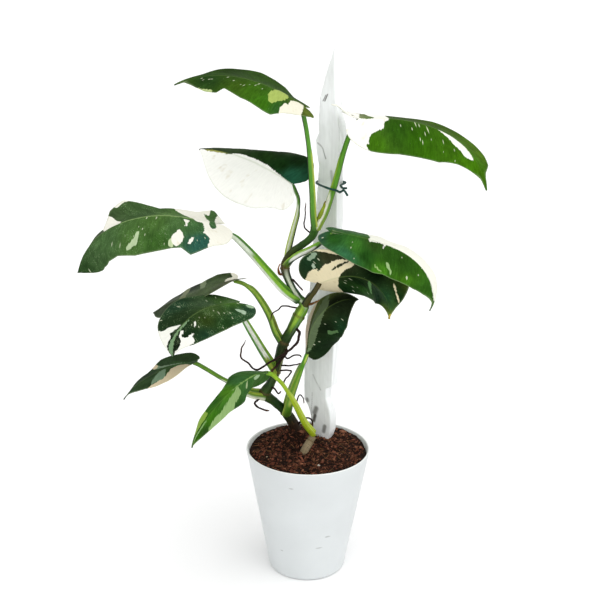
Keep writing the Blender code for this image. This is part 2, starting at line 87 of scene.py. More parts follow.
LEAVES = (
    Leaf("01", (-9, -8, 535), 137, 41, (168, 187), (30, -24), 1.5,
         (6, -4), (-7, -21), (-5, 3), (-27, 10), 0.1),
    Leaf("02", (50, -5, 522), 170, 42, (34, -50), (-3, -73), 2.0,
         (5, -2), (-5, -12), (-43, -24), (12, -18), -0.4),
    Leaf("03", (-20, 15, 448), 122, 44, (139, 167), (20, -2), 2.2,
         (-9, 3), (-35, -35), (67, 4), (-10, -72), -0.7, 1.1),
    Leaf("04", (-104, -20, 415), 167, 50, (187, 198), (13, -80), 1.8,
         (5, -2), (-9, -39), (-9, -25), (-29, 37), -0.3),
    Leaf("05", (-84, 25, 338), 103, 39, (187, 165), (-7, -34), 0.6,
         (6, -6), (14, -25), (-4, -8), (-6, 14), -0.2),
    Leaf("06", (-76, -40, 333), 104, 38, (206, 233), (3, -95), 2.0,
         (-1, -10), (-9, -17), (-16, 1), (-11, 18), -0.2),
    Leaf("07", (-128, -6, 253), 87, 28, (189, 194), (-9, -52), 1.5,
         (4, -5), (21, -23), (-2, -16), (-24, 14), 0.4),
    Leaf("08", (-43, -45, 257), 140, 26, (248, 203), (23, -70), 1.0,
         (-34, -10), (-92, -23), (-34, -22), (-7, -13), 0.3),
    Leaf("09", (22, -52, 414), 150, 37, (-15, -32), (-6, -117), 2.7,
         (34, 19), (-37, -24), (-89, -32), (-14, -1), 0.1),
    Leaf("10", (10, -14, 346), 117, 38, (-39, -37), (27, -103), 2.1,
         (77, 53), (26, -29), (-86, -67), (16, 21), -0.5),
    Leaf("11", (-3, -12, 265), 96, 37, (16, 8), (89, -10), 1.3,
         (21, 15), (-31, 1), (-87, -27), (-11, -15), -0.2),
)
# Half of a blade laid flat: along the midrib, and out from it, in hundredths of length and half width
BLADE_OUTLINE = "-8 15, -13.5 33, -12 60, -3 86, 12 98, 28 100, 45 93, 62 78, 77 57, 88 33, 95 13, 100 0"
RIB_GATHER = 1.7  # how much closer the side veins start together near the stalk
OUTLINE_SAMPLES = 2000
LAST_ROW = 0.994  # share of the outline at the last row, just before the tip
TAPER_START = 0.25
MIDRIB_SPAN = (-0.2, 1.1)  # shares of the length that the bent midrib covers
MIDRIB_STEPS = 60
SKIN_DEPTH = 0.8  # from a blade's upper face to its underside
FACE_DROP = 0.15  # how far the upper face lies under the bent sheet
ROW_SPACING = 0.95
HALF_COLUMNS = 28
VEIN_SPACING = 7.5
VEIN_WIDTH = 0.7
DASH_HALF_WIDTH = 0.6
PATCH_STEPS = 8  # between two places of a patch's outline
FAR_OUTSIDE = -20.0
NO_DASH = -5.0
PUCKER = 0.22  # how far the skin stands up and down between the veins
FLUTTER = 0.9  # how far the margins do
RIB_GROOVE = 0.3  # depth of the midrib in the upper face
RIB_HEIGHT = 0.9  # how far it stands out below


@dataclass
class Marking:
    """What is seen on one blade laid flat, in hundredths as the outline is, and + on the left half."""

    tones_and_painted_light: str  # along, out and the green there; some of these greens are painted sheen, highlights and shade
    pale: dict  # outlines of pale patches, by their colour
    cream: str = ""  # outlines of cream areas, with a semicolon between them
    islands: str = ""  # outlines left green inside them
    dashes: str = ""  # along, out and length in millimetres
    left_edge: str = "0 100, 100 100"  # way round the margin, and how wide there
    right_edge: str = "0 100, 100 100"
    lobes: tuple = (1, 1)  # how far the left and right lobes reach back past the stalk
    tip: float = 0.0  # share of the length by which a thin tip runs on
    raised: float = 0.0  # millimetres by which the left lobe stands up
    speckle: float = 0.3
    ivory: str = "e2dfcc"  # the cream's own colour
    margin: float = 0.25  # how light the thin line along the margin is


MARKINGS = {
    "01": Marking(
        tones_and_painted_light="95 0 33501c, 75 20 26421a, 55 10 304c18, 40 50 3a6414, 25 90 3c6e14, 50 40 3e5c18, "
              "12 85 305c24, -9 30 5a6a26, 60 -60 243c10, 10 -50 2c4814, 35 -60 2c4a10",
        cream="0 0, 6 10, 8.5 28, 7.5 50, 10 48, 11.5 70, 10 95, 6 108, -2 108, -5 70, -3 30",
        pale={"a9bd62": "21 -20, 15 -20, 13 -5, 11.5 20, 13 42, 17 60, 19 74, 23 68, 25 52, 25.5 30, 24 5",
              "b9c98a": "72 66, 80 56, 84 48, 84 70, 74 80"},
        dashes="80 12 3, 79 20 4, 74.5 20 3, 72 20 3, 49 38 4, 46 40 5, 42 30 4, 36 10 6, 38 24 5, "
               "50 -60 4, 66 -50 4, 60 10 4, 55 25 3, 32 30 4",
        left_edge="0 100, 9 100, 18 72, 25 78, 33 95, 38 115, 45 105, 55 100, 61 86, 63.5 80, 67 112, "
                  "74 128, 80 120, 86 80, 90 30, 100 40",
        right_edge="0 80, 10 70, 20 55, 27 45, 35 45, 41 100, 46 125, 52 140, 57 135, 62 120, 68 90, 75 50, "
                   "84 35, 100 40",
        speckle=0.25, lobes=(0.95, 0.35), tip=0.02,
    ),
    "02": Marking(
        tones_and_painted_light="5 -75 3e6c10, 25 -30 2c5410, 40 -50 305c0c, 60 -40 3a6610, 50 -90 38680c, 85 -20 42740e, "
              "95 0 3c680a, 50 60 3c5814, 75 60 4a6c18, 30 50 38501a, -11 50 a9ab84",
        cream="20 0, 16.5 -13, 14 -31, 8.8 -39, 3.7 -48, 1.2 -60, 0 -71, -2 -75, -1.5 -110, -30 -110, "
              "-30 120, 21 120, 21 50; 51.5 1, 60 2, 71 1, 77.5 -3, 81.5 -6, 80 -13, 76.5 -20, 70.5 -18, "
              "64.5 -16, 58 -8",
        pale={},
        islands="0 0, 5 35, 8.5 62, 9.5 30, 10 0",
        dashes="37 -6 9, 39.5 -9 6, 45.5 -14 10, 44.5 -30 6, 42 -50 5, 44.5 -57 6, 58.5 -30 7, 68.5 -30 5, "
               "93 20 4, 35 -25 4, 50 -40 4, 63 -55 3, 27 -20 4, 75 -50 3",
        left_edge="0 100, 12 100, 20 80, 25 45, 28 80, 30 90, 33 50, 42 40, 49 60, 56 95, 65 100, 75 120, "
                  "81 125, 86 60, 90 35, 100 30",
        right_edge="0 100, 66 100, 74 75, 80 65, 90 50, 100 60",
        speckle=0.12, ivory="eeede4", tip=0.025, raised=11,
    ),
    "03": Marking(
        # The teal by the stalk and the grey-olive towards the tip of the right half are painted reflections.
        tones_and_painted_light="5 -12 265a42, 20 -30 183412, 10 -60 142a10, 40 -40 1e3814, 70 -50 3a4a30, 95 -40 38452c, "
              "30 -90 2c3a24",
        cream="-3 0, 10 -1, 23 -5, 35 -10, 50 -10, 60 -10, 66 -4, 70 2, 80 5, 90 5, 100 10, 105 140, "
              "-30 140, -30 0",
        pale={"a8a85a": "98 2, 93 25, 89 18, 86 10, 78 6, 70 2, 80 0"},
        left_edge="0 100, 18 93, 27 77, 32 79, 37 92, 43 100, 100 100",
        right_edge="0 90, 38 88, 50 95, 60 115, 70 135, 85 140, 93 120, 100 100",
        speckle=0.05, ivory="fafaf4", lobes=(1, 0.85),
    ),
    "04": Marking(
        # Its greyer greens are a painted sheen.
        tones_and_painted_light="6 85 2c5a4c, 12 40 41673a, 20 30 4c6e3c, 35 25 486a30, 35 80 3a5e26, 55 60 486a32, "
              "70 30 47663a, 85 30 3f5a34, 95 20 2f4a26, 40 -50 3c5630, 30 -15 5a7c40, 70 -50 445438",
        cream="11 0, 8.3 14, 5 17, 4.3 30, 3.6 45, 4.5 55, 3 60, 0 75, -2 110, -30 110, -30 -110, 27 -110, "
              "24 -85, 20 -62, 17 -45, 14 -30; 19.7 50, 17 68, 17.8 85, 21 96, 24 90, 25 72, 22 60; 14 88, "
              "12 75, 10 72, 11 85, 13 92; 17 13, 14 13, 13.5 20, 15 25, 14.7 36, 16.3 38, 16 25; 67 -14, "
              "70 -90, 64 -110, 59 -65, 56.5 -35, 60 -14; 46 -130, 47 -170, 61 -170, 57 -120, 52 -125",
        islands="3.5 -68, 0.5 -60, -0.5 -85, -3 -105, -6 -90, -3.5 -40, -3 0, -3.5 28, -1 36, 0.8 20, "
                "0.5 -10, 2 -40",
        pale={"b7cba0": "47 42, 48.5 60, 51 70, 55 74, 58.5 75, 60 68, 56.5 62, 52.5 57, 49.5 47",
              "c5d6a8": "23.5 98, 26.5 96, 27 83, 25 75, 23.5 85",
              "8aa66a": "8 -2, 30 -3, 55 -3, 55 2, 30 3, 5 5"},
        dashes="34 10 6, 40 7 4, 46 30 3, 51 50 3, 43 55 4, 44 38 3, 39 76 3, 29 62 5, 30 88 3, 63 55 8, "
               "68 40 7, 57 40 4, 8 80 3, 3 72 3, 95 30 6, 90 -30 8",
        left_edge="0 90, 10 115, 20 122, 27 108, 31 112, 36 120, 40 100, 60 100, 68 90, 74 100, 80 135, "
                  "86 195, 92 280, 97 320, 100 150",
        right_edge="0 60, 16 72, 22 93, 26 104, 28.5 100, 31 88, 34 76, 47 75, 52 105, 58 140, 63 135, "
                   "68 80, 75 100, 85 160, 95 240, 100 100",
        speckle=0.7, ivory="e8e6da", lobes=(1, 0.7),
    ),
    "05": Marking(
        # Its greyer greens are a painted sheen.
        tones_and_painted_light="5 -80 3a4a2a, 20 -40 566a44, 50 -70 3a4438, 50 20 5a6a4c, 80 10 4a5442, 75 60 34503a, "
              "30 50 566b3e, -5 50 4a4a20",
        cream="0 -120, 1 -50, 3 -40, 8 -35, 10 -5, 8.5 15, 5 5, 0 -5, -5 -10, -30 -10, -30 -120",
        pale={"8c9272": "58 -100, 66 -100, 64 -40, 62 15, 56 20, 55 -30",
              "8c9a78": "42 -95, 35 -90, 33 -20, 36 -5, 40 -30"},
        left_edge="0 100, 30 110, 42 115, 60 100, 80 100, 87 140, 94 200, 100 100",
        right_edge="0 100, 41 100, 46 86, 52 76, 57 86, 63 90, 68 80, 75 95, 100 100",
        speckle=0.2, ivory="ece9d8", lobes=(1, 0.4),
    ),
    "06": Marking(
        tones_and_painted_light="30 80 24421f, 10 70 2c4c2c, 45 40 34471c, 60 80 22402a, 30 10 40592c, 5 -20 4a742a, "
              "30 -40 425a3c, 60 -30 26391f, 50 -80 2e4a34, 70 20 1a301a, -10 50 2c4a34, 85 7 141f12",
        cream="71 8, 71 14, 75.5 16, 77 22, 74 33, 68.5 37, 66.5 44, 71 44, 73 50, 78 56, 82 47, 87 50, "
              "93 35, 98 12, 95 8, 90 17, 86 20, 81 18, 76.5 9; 66.5 -6, 70 -23, 73.5 -37, 77.5 -44, "
              "82 -65, 90 -60, 100 -20, 97 -10, 92 -17, 86 -17, 81.5 -14, 78 -22, 74 -14, 70 -8; 60 37, "
              "59 30, 55.5 20, 55 24, 57.5 32",
        pale={"b4cdb0": "7 35, 3 38, -1 45, -1.5 60, 2 64, 4.5 53, 6.5 46",
              "a9c4a2": "-7 20, -12 24, -13 38, -9 37",
              "7c9c74": "58 3, 70 -2, 80 -7, 90 -13, 97 -5, 100 2, 90 2, 80 1, 70 4, 62 7"},
        dashes="27 35 7, 22 42 3, 15.5 47 3, 44 30 3, 17 70 3, 57 42 2.5, 48 20 3, 12 -35 5, 23 -60 6, "
               "10 -85 6, 50 -70 5, 63 -60 4, 22 98 3, 33 95 4, 35 90 3, 0 6 3, 60 22 2, 8 70 4, 30 20 3, "
               "70 -72 3",
        left_edge="0 100, 75 100, 85 80, 100 80",
        right_edge="0 100, 20 105, 33 115, 42 102, 62 102, 72 108, 82 100, 100 90",
        speckle=0.85, ivory="ebebe2", lobes=(1, 0.6),
    ),
    "07": Marking(
        tones_and_painted_light="10 -60 344a2a, 35 -70 384e32, 20 5 3a6230, 70 20 344a2c, 90 0 384c34, 30 25 3a542c, "
              "60 -20 2e402c",
        cream="3 120, 5 75, 13 33, 19 21, 24.5 27, 29 34, 33.5 55, 38 70, 42 76, 47 72, 54 66, 60 62, "
              "66 70, 60 120, 30 130; 46 -52, 47 -75, 52 -80, 53 -60, 50 -45",
        pale={"7c977a": "36 5, 42 5, 50 25, 57 45, 60 60, 54 66, 47 72, 42 76, 38 70, 36 40",
              "83997c": "10 -6, 20 -10, 30 -18, 40 -28, 50 -42, 52 -60, 47 -65, 40 -50, 30 -33, 20 -22"},
        left_edge="0 100, 35 95, 41 105, 50 115, 60 112, 68 100, 76 88, 85 60, 92 40, 100 50",
        right_edge="0 90, 15 95, 33 108, 52 112, 56 95, 59 78, 63 70, 69 85, 76 100, 88 100, 100 60",
        speckle=0.15, ivory="d8c8a8", lobes=(0.5, 0.68), tip=0.04,
    ),
    "08": Marking(
        tones_and_painted_light="10 50 41662e, 30 60 3a6630, 15 -50 3a6e22, 35 -30 3a6634, 50 -20 4c7e20, 60 -50 305c20, "
              "75 10 3c7018, 90 0 285808, 98 0 44661a, 55 85 2c4e24, 85 30 2c4a1e",
        pale={"90b070": "42 3, 40 20, 40 40, 45 50, 50 56, 55 72, 62 80, 70 80, 80 55, 86 36, 79 28, 70 25, "
                        "64.5 30, 54.5 22, 50 18, 46 12",
              "a8bd8a": "30 12, 29 30, 30 44, 32 42, 31.5 20",
              "a9c79a": "20 8, 13 10, 10 20, 13 30, 18 30, 21 18",
              "8fb04a": "72 -25, 74 -80, 92 -60, 90 -20, 80 -14, 75 -12",
              "7fa55c": "20 -3, 45 -5, 45 3, 20 4",
              "86ad6a": "78 5, 90 3, 97 2, 90 -3, 80 -2"},
        left_edge="0 100, 25 108, 36 110, 50 98, 57 93, 63 84, 70 88, 78 92, 100 100",
        right_edge="0 100, 30 108, 42 108, 48 98, 52 80, 57 64, 63 66, 69 88, 76 150, 86 170, 100 140",
        speckle=0.15,
    ),
    "09": Marking(
        # The light teal near the right margin by the stalk is a painted highlight.
        tones_and_painted_light="10 -78 3f7a50, 17 -40 417a28, 30 -10 34521f, 60 -30 2c5418, 40 -85 4c8a20, 65 -62 44771a, "
              "0 -30 2c5e1e, 85 -20 33601c, 25 -55 245018, 10 50 305a22, 45 -30 2c5418, -10 -20 3c5a4c",
        cream="26 -5, 25 30, 22 60, 20 120, 97 120, 93 30, 90 0, 70 0, 50 0, 45 -2, 38.5 -3, 37.8 -15, "
              "36.5 -16, 36 -4, 30 -5",
        pale={"a9c98a": "42.5 -51, 44 -50, 47.5 -60, 50.5 -68, 50 -74, 46 -66, 43.5 -60",
              "a6c97a": "33.5 -71, 36 -75, 40 -79, 40.5 -84, 36 -83, 33.5 -78"},
        dashes="27 -96 4, 66 -50 4, 64.5 -50 3, -7 -35 3, 13.5 -45 3, 14.5 -25 2, 74 -60 3, 52 -15 2, "
               "16 -80 2, 70 -20 2",
        right_edge="0 90, 20 95, 48 100, 53 94, 60 98, 74 100, 80 85, 85 45, 90 15, 100 30",
        left_edge="0 80, 15 90, 30 130, 38 135, 43 110, 48 100, 80 100, 90 40, 100 30",
        speckle=0.12, ivory="e8e8dc", margin=0.35, lobes=(0.45, 0.75),
    ),
    "10": Marking(
        # The near-black greens in the middle of the blade are painted shade.
        tones_and_painted_light="5 70 1f3c24, 20 65 3c4028, 30 55 343826, 40 -30 10240e, 60 20 0e1d0c, 80 0 1f4428, "
              "90 5 28502c, 40 -90 28501c, 10 -90 183216, 70 -50 14301a, 85 35 143214, 96 2 7a8a30, "
              "80 85 4a5a20",
        cream="-13 22, -8.5 33, -5 40, 0 45, 5.5 43, 6 36, 8.5 37, 14.5 46, 18.7 45, 25 49, 33.5 47, 40 38, "
              "39.5 29, 34.5 23, 27.5 8, 24.5 0, 19 -18, 12 -40, 4.5 -62, 0 -95, -5 -110, -30 -90, -30 0, "
              "-13 10; 74.5 42, 77.5 38.5, 81 35, 87 32.5, 87 29.5, 80 31, 76.5 34.5, 73.5 38.5; -14 70, "
              "-5 92, 4 95, 12 93, 16 86, 21.5 74, 27 64, 34 60, 36 80, 30 110, -10 110, -20 60",
        islands="19 24, 23.5 33, 30 39, 37 42, 32 35, 26 28",
        pale={"5f8a54": "58 2, 60 -10, 57.5 -30, 54 -70, 49 -78, 51.5 -50, 54.5 -20",
              "d2bd5a": "95 12, 100 5, 100 -5, 96 -5",
              "97ae92": "3 78, 10 90, 13 84, 10 76, 5 72",
              "aebfa8": "5.5 50, 3 45, 3.5 56, 6 62"},
        dashes="25 -26 2, 25.5 -30 2, 20 -42 6, 33 -20 7, 22 -70 6, 15 -95 5, 40 -90 4, 28 -72 4, 7 62 5, "
               "12 66 4",
        left_edge="0 100, 30 100, 38 95, 44 80, 50 70, 58 75, 68 100, 75 112, 80 90, 84.5 58, 90 42, 100 50",
        right_edge="0 100, 30 115, 45 118, 55 110, 80 110, 100 80",
        speckle=0.2, ivory="e6dab6", margin=0.45,
    ),
    "11": Marking(
        tones_and_painted_light="10 -60 182a16, 40 -40 131f10, 60 -80 1c3a22, 70 10 121c10, 90 -10 1a2414, 30 -90 1c3418, "
              "45 50 55602f, 60 60 4c5a2c",
        cream="10 3, 20 14, 33 36, 45 58, 53 75, 57 110, 10 110, -10 90, 0 30",
        pale={"5f7050": "6 -8, 8 -20, 16 -25, 28 -23, 42 -17, 55 -5, 64 10, 68 40, 70 75, 63 62, 55 45, "
                        "45 30, 33 14, 20 0",
              "587a4c": "31 -60, 33 -53, 38 -50, 42 -62, 48 -70, 45 -76, 38 -72, 33 -68",
              "6f8660": "2 -4, 6 -5, 9 -12, 6 -18, 3 -12"},
        dashes="44 -30 3, 58 -48 3, 70 -53 4, 11 -25 3, 15 -40 3",
        right_edge="0 95, 15 95, 27 112, 36 117, 42 108, 47 100, 55 98, 63 100, 70 110, 80 110, 87 100, "
                   "93 80, 100 100",
        speckle=0.2, ivory="c4b49a", lobes=(1, 0.7),
    ),
}

# Stalks, stem, roots and scales: the same routes as in the part's source


@dataclass
class Stalk:
    """A leaf's stalk, up to just under its blade. Sizes are half width and half depth."""

    name: str
    route: str
    foot: tuple
    top: tuple
    sheath: float  # share of the length that the sheath reaches
    face: tuple  # the way its channelled side looks
    wing: str  # colour of the sheath's two edges
    bands: str  # share of the length and the colour there
    stripes_and_painted_light: str  # share from, share to, the side it is on, half its width in degrees, colour; the dark green ones down a side are painted shade


# The dark green stripes down a stalk's side or underside are painted shade.
STALKS = (
    Stalk("01", "5 7 400, 3 5 417, 2 2 439, 0 -1 466, -2 -3 488, -5 -5 509, -8 -6 524",
          (5, 4), (2.6, 2.6), 0.6, (1, 0, 0.1), "a9b84c",
          "0 4c7a34, 0.2 62a034, 0.7 5c9c34, 1 365e26",
          "0 1 -1 -0.1 0 40 20381a, 0 0.55 0.8 -0.6 0 24 b4c454"),
    Stalk("02", "7 7 401, 15 8 417, 21 8 435, 27 8 456, 33 8 481, 39 5 501, 45 1 512",
          (5, 4), (3.2, 3.0), 0.6, (-1, 0, 0.4), "a0c040",
          "0 8ca438, 0.2 6c9c2c, 0.6 4a8020, 1 345a1c",
          "0 0.32 -0.5 -0.85 0.2 26 eef0dc, 0.3 0.9 0.1 -1 0 22 5c9a28, 0.1 1 1 -0.3 0 26 28481a"),
    Stalk("03", "-25 9 360, -24 16 374, -19 17 396, -14 16 416, -13 15 431, -16 15 440",
          (4, 3.5), (2.2, 2.2), 0.55, (1, -0.3, 0.4), "b8c860",
          "0 6a9a34, 0.5 64943a, 1 3c6a2c",
          "0 0.55 -1 -0.6 0 38 b4c85c, 0.1 0.6 -0.2 -1 0 14 e2e8d0, 0.55 1 -1 -0.5 0 30 d0dcc0, "
          "0.1 1 1 -0.3 0 36 20401a"),
    # Its bright green line at the front of the lower half is a painted highlight, and the dark lines down
    # both edges of the upper half are painted shade.
    Stalk("04", "-13 6 322, -28 -1 335, -45 -6 356, -62 -12 378, -79 -17 397, -93 -20 407",
          (6.6, 5), (2.6, 2.4), 0.72, (0.7, -0.2, 0.7), "6aa02c",
          "0 2c5022, 0.2 4c8626, 0.6 68a428, 1 4c7a3a",
          "0.05 0.55 -0.5 -0.8 -0.5 34 f0f4e6, 0.5 1 -0.2 -1 -0.2 50 dce8d0, 0.5 1 0.75 -0.3 0.7 28 3c6a34, "
          "0.5 1 -0.7 -0.2 -0.7 24 2c562a, 0.05 0.48 0.3 -1 0.1 18 84ba34"),
    Stalk("05", "-29 3 271, -37 8 283, -43 12 298, -51 16 312, -61 20 325, -71 22 333, -79 23 336",
          (5, 4), (2.4, 2.3), 0.7, (0.6, -0.3, 0.7), "94a644",
          "0 4c742c, 0.5 6c9a2c, 1 7ca83c",
          "0.1 1 0.3 -0.9 0.2 24 a0c04c, 0 0.6 -0.8 -0.5 -0.3 26 3c5c20, 0 0.45 1 -0.2 0 16 7c5a30"),
    Stalk("06", "-37 4 238, -42 -4 250, -50 -13 267, -59 -24 288, -67 -34 307, -73 -40 322",
          (6, 4.2), (2.8, 2.5), 0.75, (0.9, -0.6, 0.3), "86a63c",
          "0 6c8a2c, 0.35 4c8a24, 1 4c9024",
          "0.25 1 0.5 -0.85 0.1 40 f0f3e6, 0 0.3 0.2 -1 0 30 98ac40"),
    Stalk("07", "-49 8 207, -66 5 211, -81 2 221, -97 -1 231, -112 -4 242, -122 -6 249",
          (7.4, 6), (2.5, 2.4), 0.45, (0.3, -0.2, 1), "a0b43c",
          "0 4c7422, 0.35 6c9a2c, 1 6a9a34",
          "0 0.5 0.1 -0.8 -0.5 22 e4e8cc, 0.3 1 0 -0.5 -0.9 36 34581c"),
    Stalk("08", "6 6 161, -4 -4 179, -15 -16 207, -27 -28 234, -36 -35 247, -41 -38 252",
          (4.6, 4), (2.4, 2.2), 0.45, (0.5, -0.4, 0.8), "bccc4c",
          "0 b0c424, 0.4 a4c02c, 1 7cb42c",
          "0.05 1 -0.9 -0.4 -0.1 34 4c7c20"),
    Stalk("09", "-26 6 359, -20 -1 369, -12 -3 375, 0 -3 381, 10 -8 389, 18 -30 402",
          (4.4, 3.6), (2.8, 2.6), 0.7, (-0.3, 0, 1), "a4cc4c",
          "0 5c4a26, 0.15 4c8224, 0.6 64a82c, 1 7cac3c",
          "0.15 1 0 -1 0 26 f2f4ea, 0.1 1 0 -0.5 -0.8 34 1c3614"),
    # Its dark stripes down both edges are painted shade.
    Stalk("10", "-5 4 316, -1 -2 326, 4 -7 334, 7 -10 340",
          (5.4, 4.6), (3.8, 3.2), 0.4, (-0.7, 0, 0.7), "5c5a2c",
          "0 4a4c20, 1 4c4424",
          "0 1 -1 -0.2 0 34 28301a, 0 1 1 -0.2 0 34 2c321a"),
    # Its thin yellow line down the front is a painted highlight, and its dark right side painted shade.
    Stalk("11", "-25 17 183, -23 10 195, -20 7 209, -14 1 229, -9 -5 245, -5 -10 256",
          (7.6, 6.2), (2.8, 2.6), 0.75, (-1, -0.2, 0.3), "98b03c",
          "0 4c6a22, 0.3 5c9426, 1 569a24",
          "0.2 1 0.3 -0.95 0 15 c0d060, 0.1 1 1 -0.3 0 32 2c5a1a"),
)

STEM = (
    "-7 25 92 5, -9 24 136 6.5, -16 21 164 6.5, -27 17 184 5.6, -39 12 198 5.2, -49 8 209 6.6, "
    "-43 6 222 5.4, -37 4 238 5.6, -33 3 255 5.4, -28 3 272 6, -20 4 287 5.6, -11 4 305 6.8, -6 4 317 5.6, "
    "-13 6 325 4.8, -21 7 339 4.2, -27 7 357 5, -22 8 372 4.2, -10 8 382 4, 1 8 391 4.2, 5 7 402 4.8, "
    "6 7 409 3.4"
)
STEM_BANDS = (
    "0 2c1f17, 0.11 33241a, 0.14 22341a, 0.2 20401a, 0.25 3c4c1c, 0.3 2c4a1e, 0.35 38481f, 0.4 303c1c, "
    "0.45 2c3c1c, 0.5 28501c, 0.53 4c8a22, 0.56 74a830, 0.6 6a9a38, 0.64 34582c, 0.7 2c5630, 0.75 4c4422, "
    "0.85 2c4a1c, 0.95 3c6a20, 1 3c5a20"
)
# Stripes along the stem; the dark green ones down a side are painted shade.
STEM_STRIPES_AND_SHADE = (
    "0.27 0.44 0.9 -0.5 0 14 a4a878, 0.5 0.6 0.5 -0.8 0.2 10 e6eed8, 0.51 0.6 -0.3 -1 0 12 a4c844, "
    "0.15 0.28 -0.3 -0.9 0 20 34541e, 0.46 0.6 -0.8 -0.6 0 18 4a4a20, 0.5 0.6 1 -0.3 0 20 2c5020, "
    "0.61 0.74 0.2 -1 0 20 dce4ca, 0.61 0.74 1 -0.4 0 30 1c3818, 0.28 0.48 -0.9 -0.5 0 30 1c3814"
)
STUB = "-8 -14 112 4.5, -5 -9 139 5, -3 -4 146 5, 2 2 153 4.6, 6 6 158 4.2"
STUB_BANDS = "0 6a5a42, 0.6 97876a, 1 8c7d5e"
STEM_NODES = (0.15, 0.26, 0.35, 0.45, 0.545, 0.75, 0.95)  # shares of the stem where a ring goes round it
STUB_NODES = (0.75,)
# Air roots: the route starts inside the stem or stub; then the radius there and at the tip
ROOTS = (
    ("-16 4 292, -11 -3 287, -11 -8 283, -14 -9 276, -22 -10 268, -31 -11 262, -43 -15 256, -57 -17 248, "
     "-66 -15 254, -74 -14 261, -74 -13 269, -69 -13 281", 1.7, 0.8),
    ("-26 2 266, -25 -5 264, -31 -6 255, -37 -7 247, -42 -8 240", 1.8, 1.2),
    ("-28 1 262, -24 -5 257, -17 -7 261, -10 -7 262, -8 -9 260", 1.0, 0.7),
    ("-32 2 246, -22 -6 249, -14 -9 251, -9 -11 254", 1.0, 0.7),
    ("-34 2 240, -20 -4 242, -22 -5 237, -27 -4 230, -28 -2 222", 1.0, 0.8),
    ("-44 6 219, -38 -1 219, -34 -3 214, -31 -2 217", 1.1, 0.8),
    ("-50 8 206, -58 0 204, -60 0 199, -52 0 194, -44 1 191", 1.3, 1.0),
    ("-23 17 186, -14 17 196, -10 16 205, -6 14 202, -5 12 195", 0.9, 0.6),
    ("-15 21 162, -6 16 174, 1 14 177, 5 14 172, 4 13 163", 1.2, 0.9),
    ("-21 7 343, -18 1 346, -12 -2 340, -7 -4 335", 1.2, 0.9),
    ("-10 4 312, -28 2 316, -34 0 312, -40 -2 308, -42 -4 300", 1.0, 0.6),
    ("3 8 395, -6 5 403, -6 6 414, -5 7 430", 0.9, 0.6),
)
ROOT_BANDS = "0 2c1a12, 0.7 281812, 1 5a3a28"
# Dry scales: the route, half the width and depth at its start, and colours
SCALES = (
    ("-26 7 352, -32 3 351, -34 1 358, -32 0 364", (2.0, 0.9),
     "0 4c3520, 0.5 7a4a22, 1 a86a2c"),
    ("-7 4 317, 0 -2 319, 7 -3 322, 11 -4 325", (2.2, 1.4),
     "0 4c3520, 0.5 6e4a26, 1 8a6434"),
    ("5 7 404, 10 4 416, 14 4 426, 16 5 432", (3.2, 1.8),
     "0 6a4422, 0.2 8a9a2c, 0.7 9cb034, 1 7a5628"),
)

# Pot, soil, stake and tie

POT_RIM_RADIUS = 70.0
POT_FOOT_RADIUS = 43.5
POT_HEIGHT = 148.0
POT_WALL = 2.2
POT_FLOOR = 3.0
POT_FOOT_ROUNDING = 4.5
POT_FOOT_RING = (3.0, 0.6)  # width of the ring it stands on, and how high the underside lies inside it
POT_FLOOR_CORNER = (3.5, 4.0)  # the slope where the floor meets the wall: across and up
POT_MIDDLE = 5.0  # radius where the outline of the foot and of the floor ends
# The lip's colour is a painted highlight, and the inside's is painted light: a lighter, greener white than
# the outside plastic.
LIP_HIGHLIGHT = (0.8, 0.82, 0.8)
INSIDE_PAINTED_LIGHT = (0.8, 0.83, 0.8)
# The place and size of each grey mark on the pot
POT_MARKS = "-17.5 -64 128 3.2, 23 -49 61 3.6, 13.6 -50 47 3.8, -28 -41 38 2.6"
MARK_FLATTENING = (1, 1, 3)  # how much wider than tall a mark is

SOIL_LEVEL = 141.5
SOIL_GAP = 0.3  # between the soil and the pot's wall
SCATTER_GAP = 3.5  # between the wall and the outermost chips
MOUND_EDGE = 0.6
MOUND_HEIGHT = 2.0
HEAP_PLACE = (-15, 22)  # the foot of the stem, where the soil is heaped up
HEAP_HEIGHT = 19
HEAP_REACH = math.sqrt(200)  # how far out the heap has fallen to about a third
BACK_RISE = 3.5  # how much higher the soil stands at the back
BACK_REACH = 60
SOIL_WAVES = ((5, 0.9, 11), (6, 0.55, 3.4), (7, 0.35, 1.5))  # seed, height and size of coarse to fine crumb
GROUND_COLOUR = "26150d"
CHIP_POINTS = "0 0 1, 0.9 0 0.3, 0.2 0.85 0.25, -0.8 0.4 0.2, -0.6 -0.7 0.3, 0.4 -0.8 0.2, 0 0 -0.8"
CHIP_FACES = "0 1 2, 0 2 3, 0 3 4, 0 4 5, 0 5 1, 6 2 1, 6 3 2, 6 4 3, 6 5 4, 6 1 5"
CHIP_COLOURS = ("5e3524", "6a3b2b", "3a2016", "7e4a38", "6a402e", "8e5e46", "2c1a12")
FIBRE_COLOURS = ("6e4430", "7c5238", "5f3c28", "87603e")
CHIP_SEED = 11
FIBRE_SEED = 12
FIBRE_COUNT = 240
# The place, size and colour of each pale grain
SOIL_GRAINS = "12 -41 2 c9c2b4, -46 -20 1.3 a4927c, 38 -12 1.2 94806a"

STAKE_CORNER = (23.5, 24.4)
STAKE_TURN = -28.0
STAKE_THICKNESS = 15.5
STAKE_EDGE = 1.3
STAKE_BOTTOM = 52
STAKE_TOP_LEVELS = (586, 587.2, 588.2)
STAKE_SIDE_STEPS = (8, 10, 8, 44)  # right edge, back, left edge and front face
STAKE_DENTS = 0.8  # how deep the uneven paint goes
CRACKED_FROM = (120, 150)  # heights where the cracks begin to show, and show in full
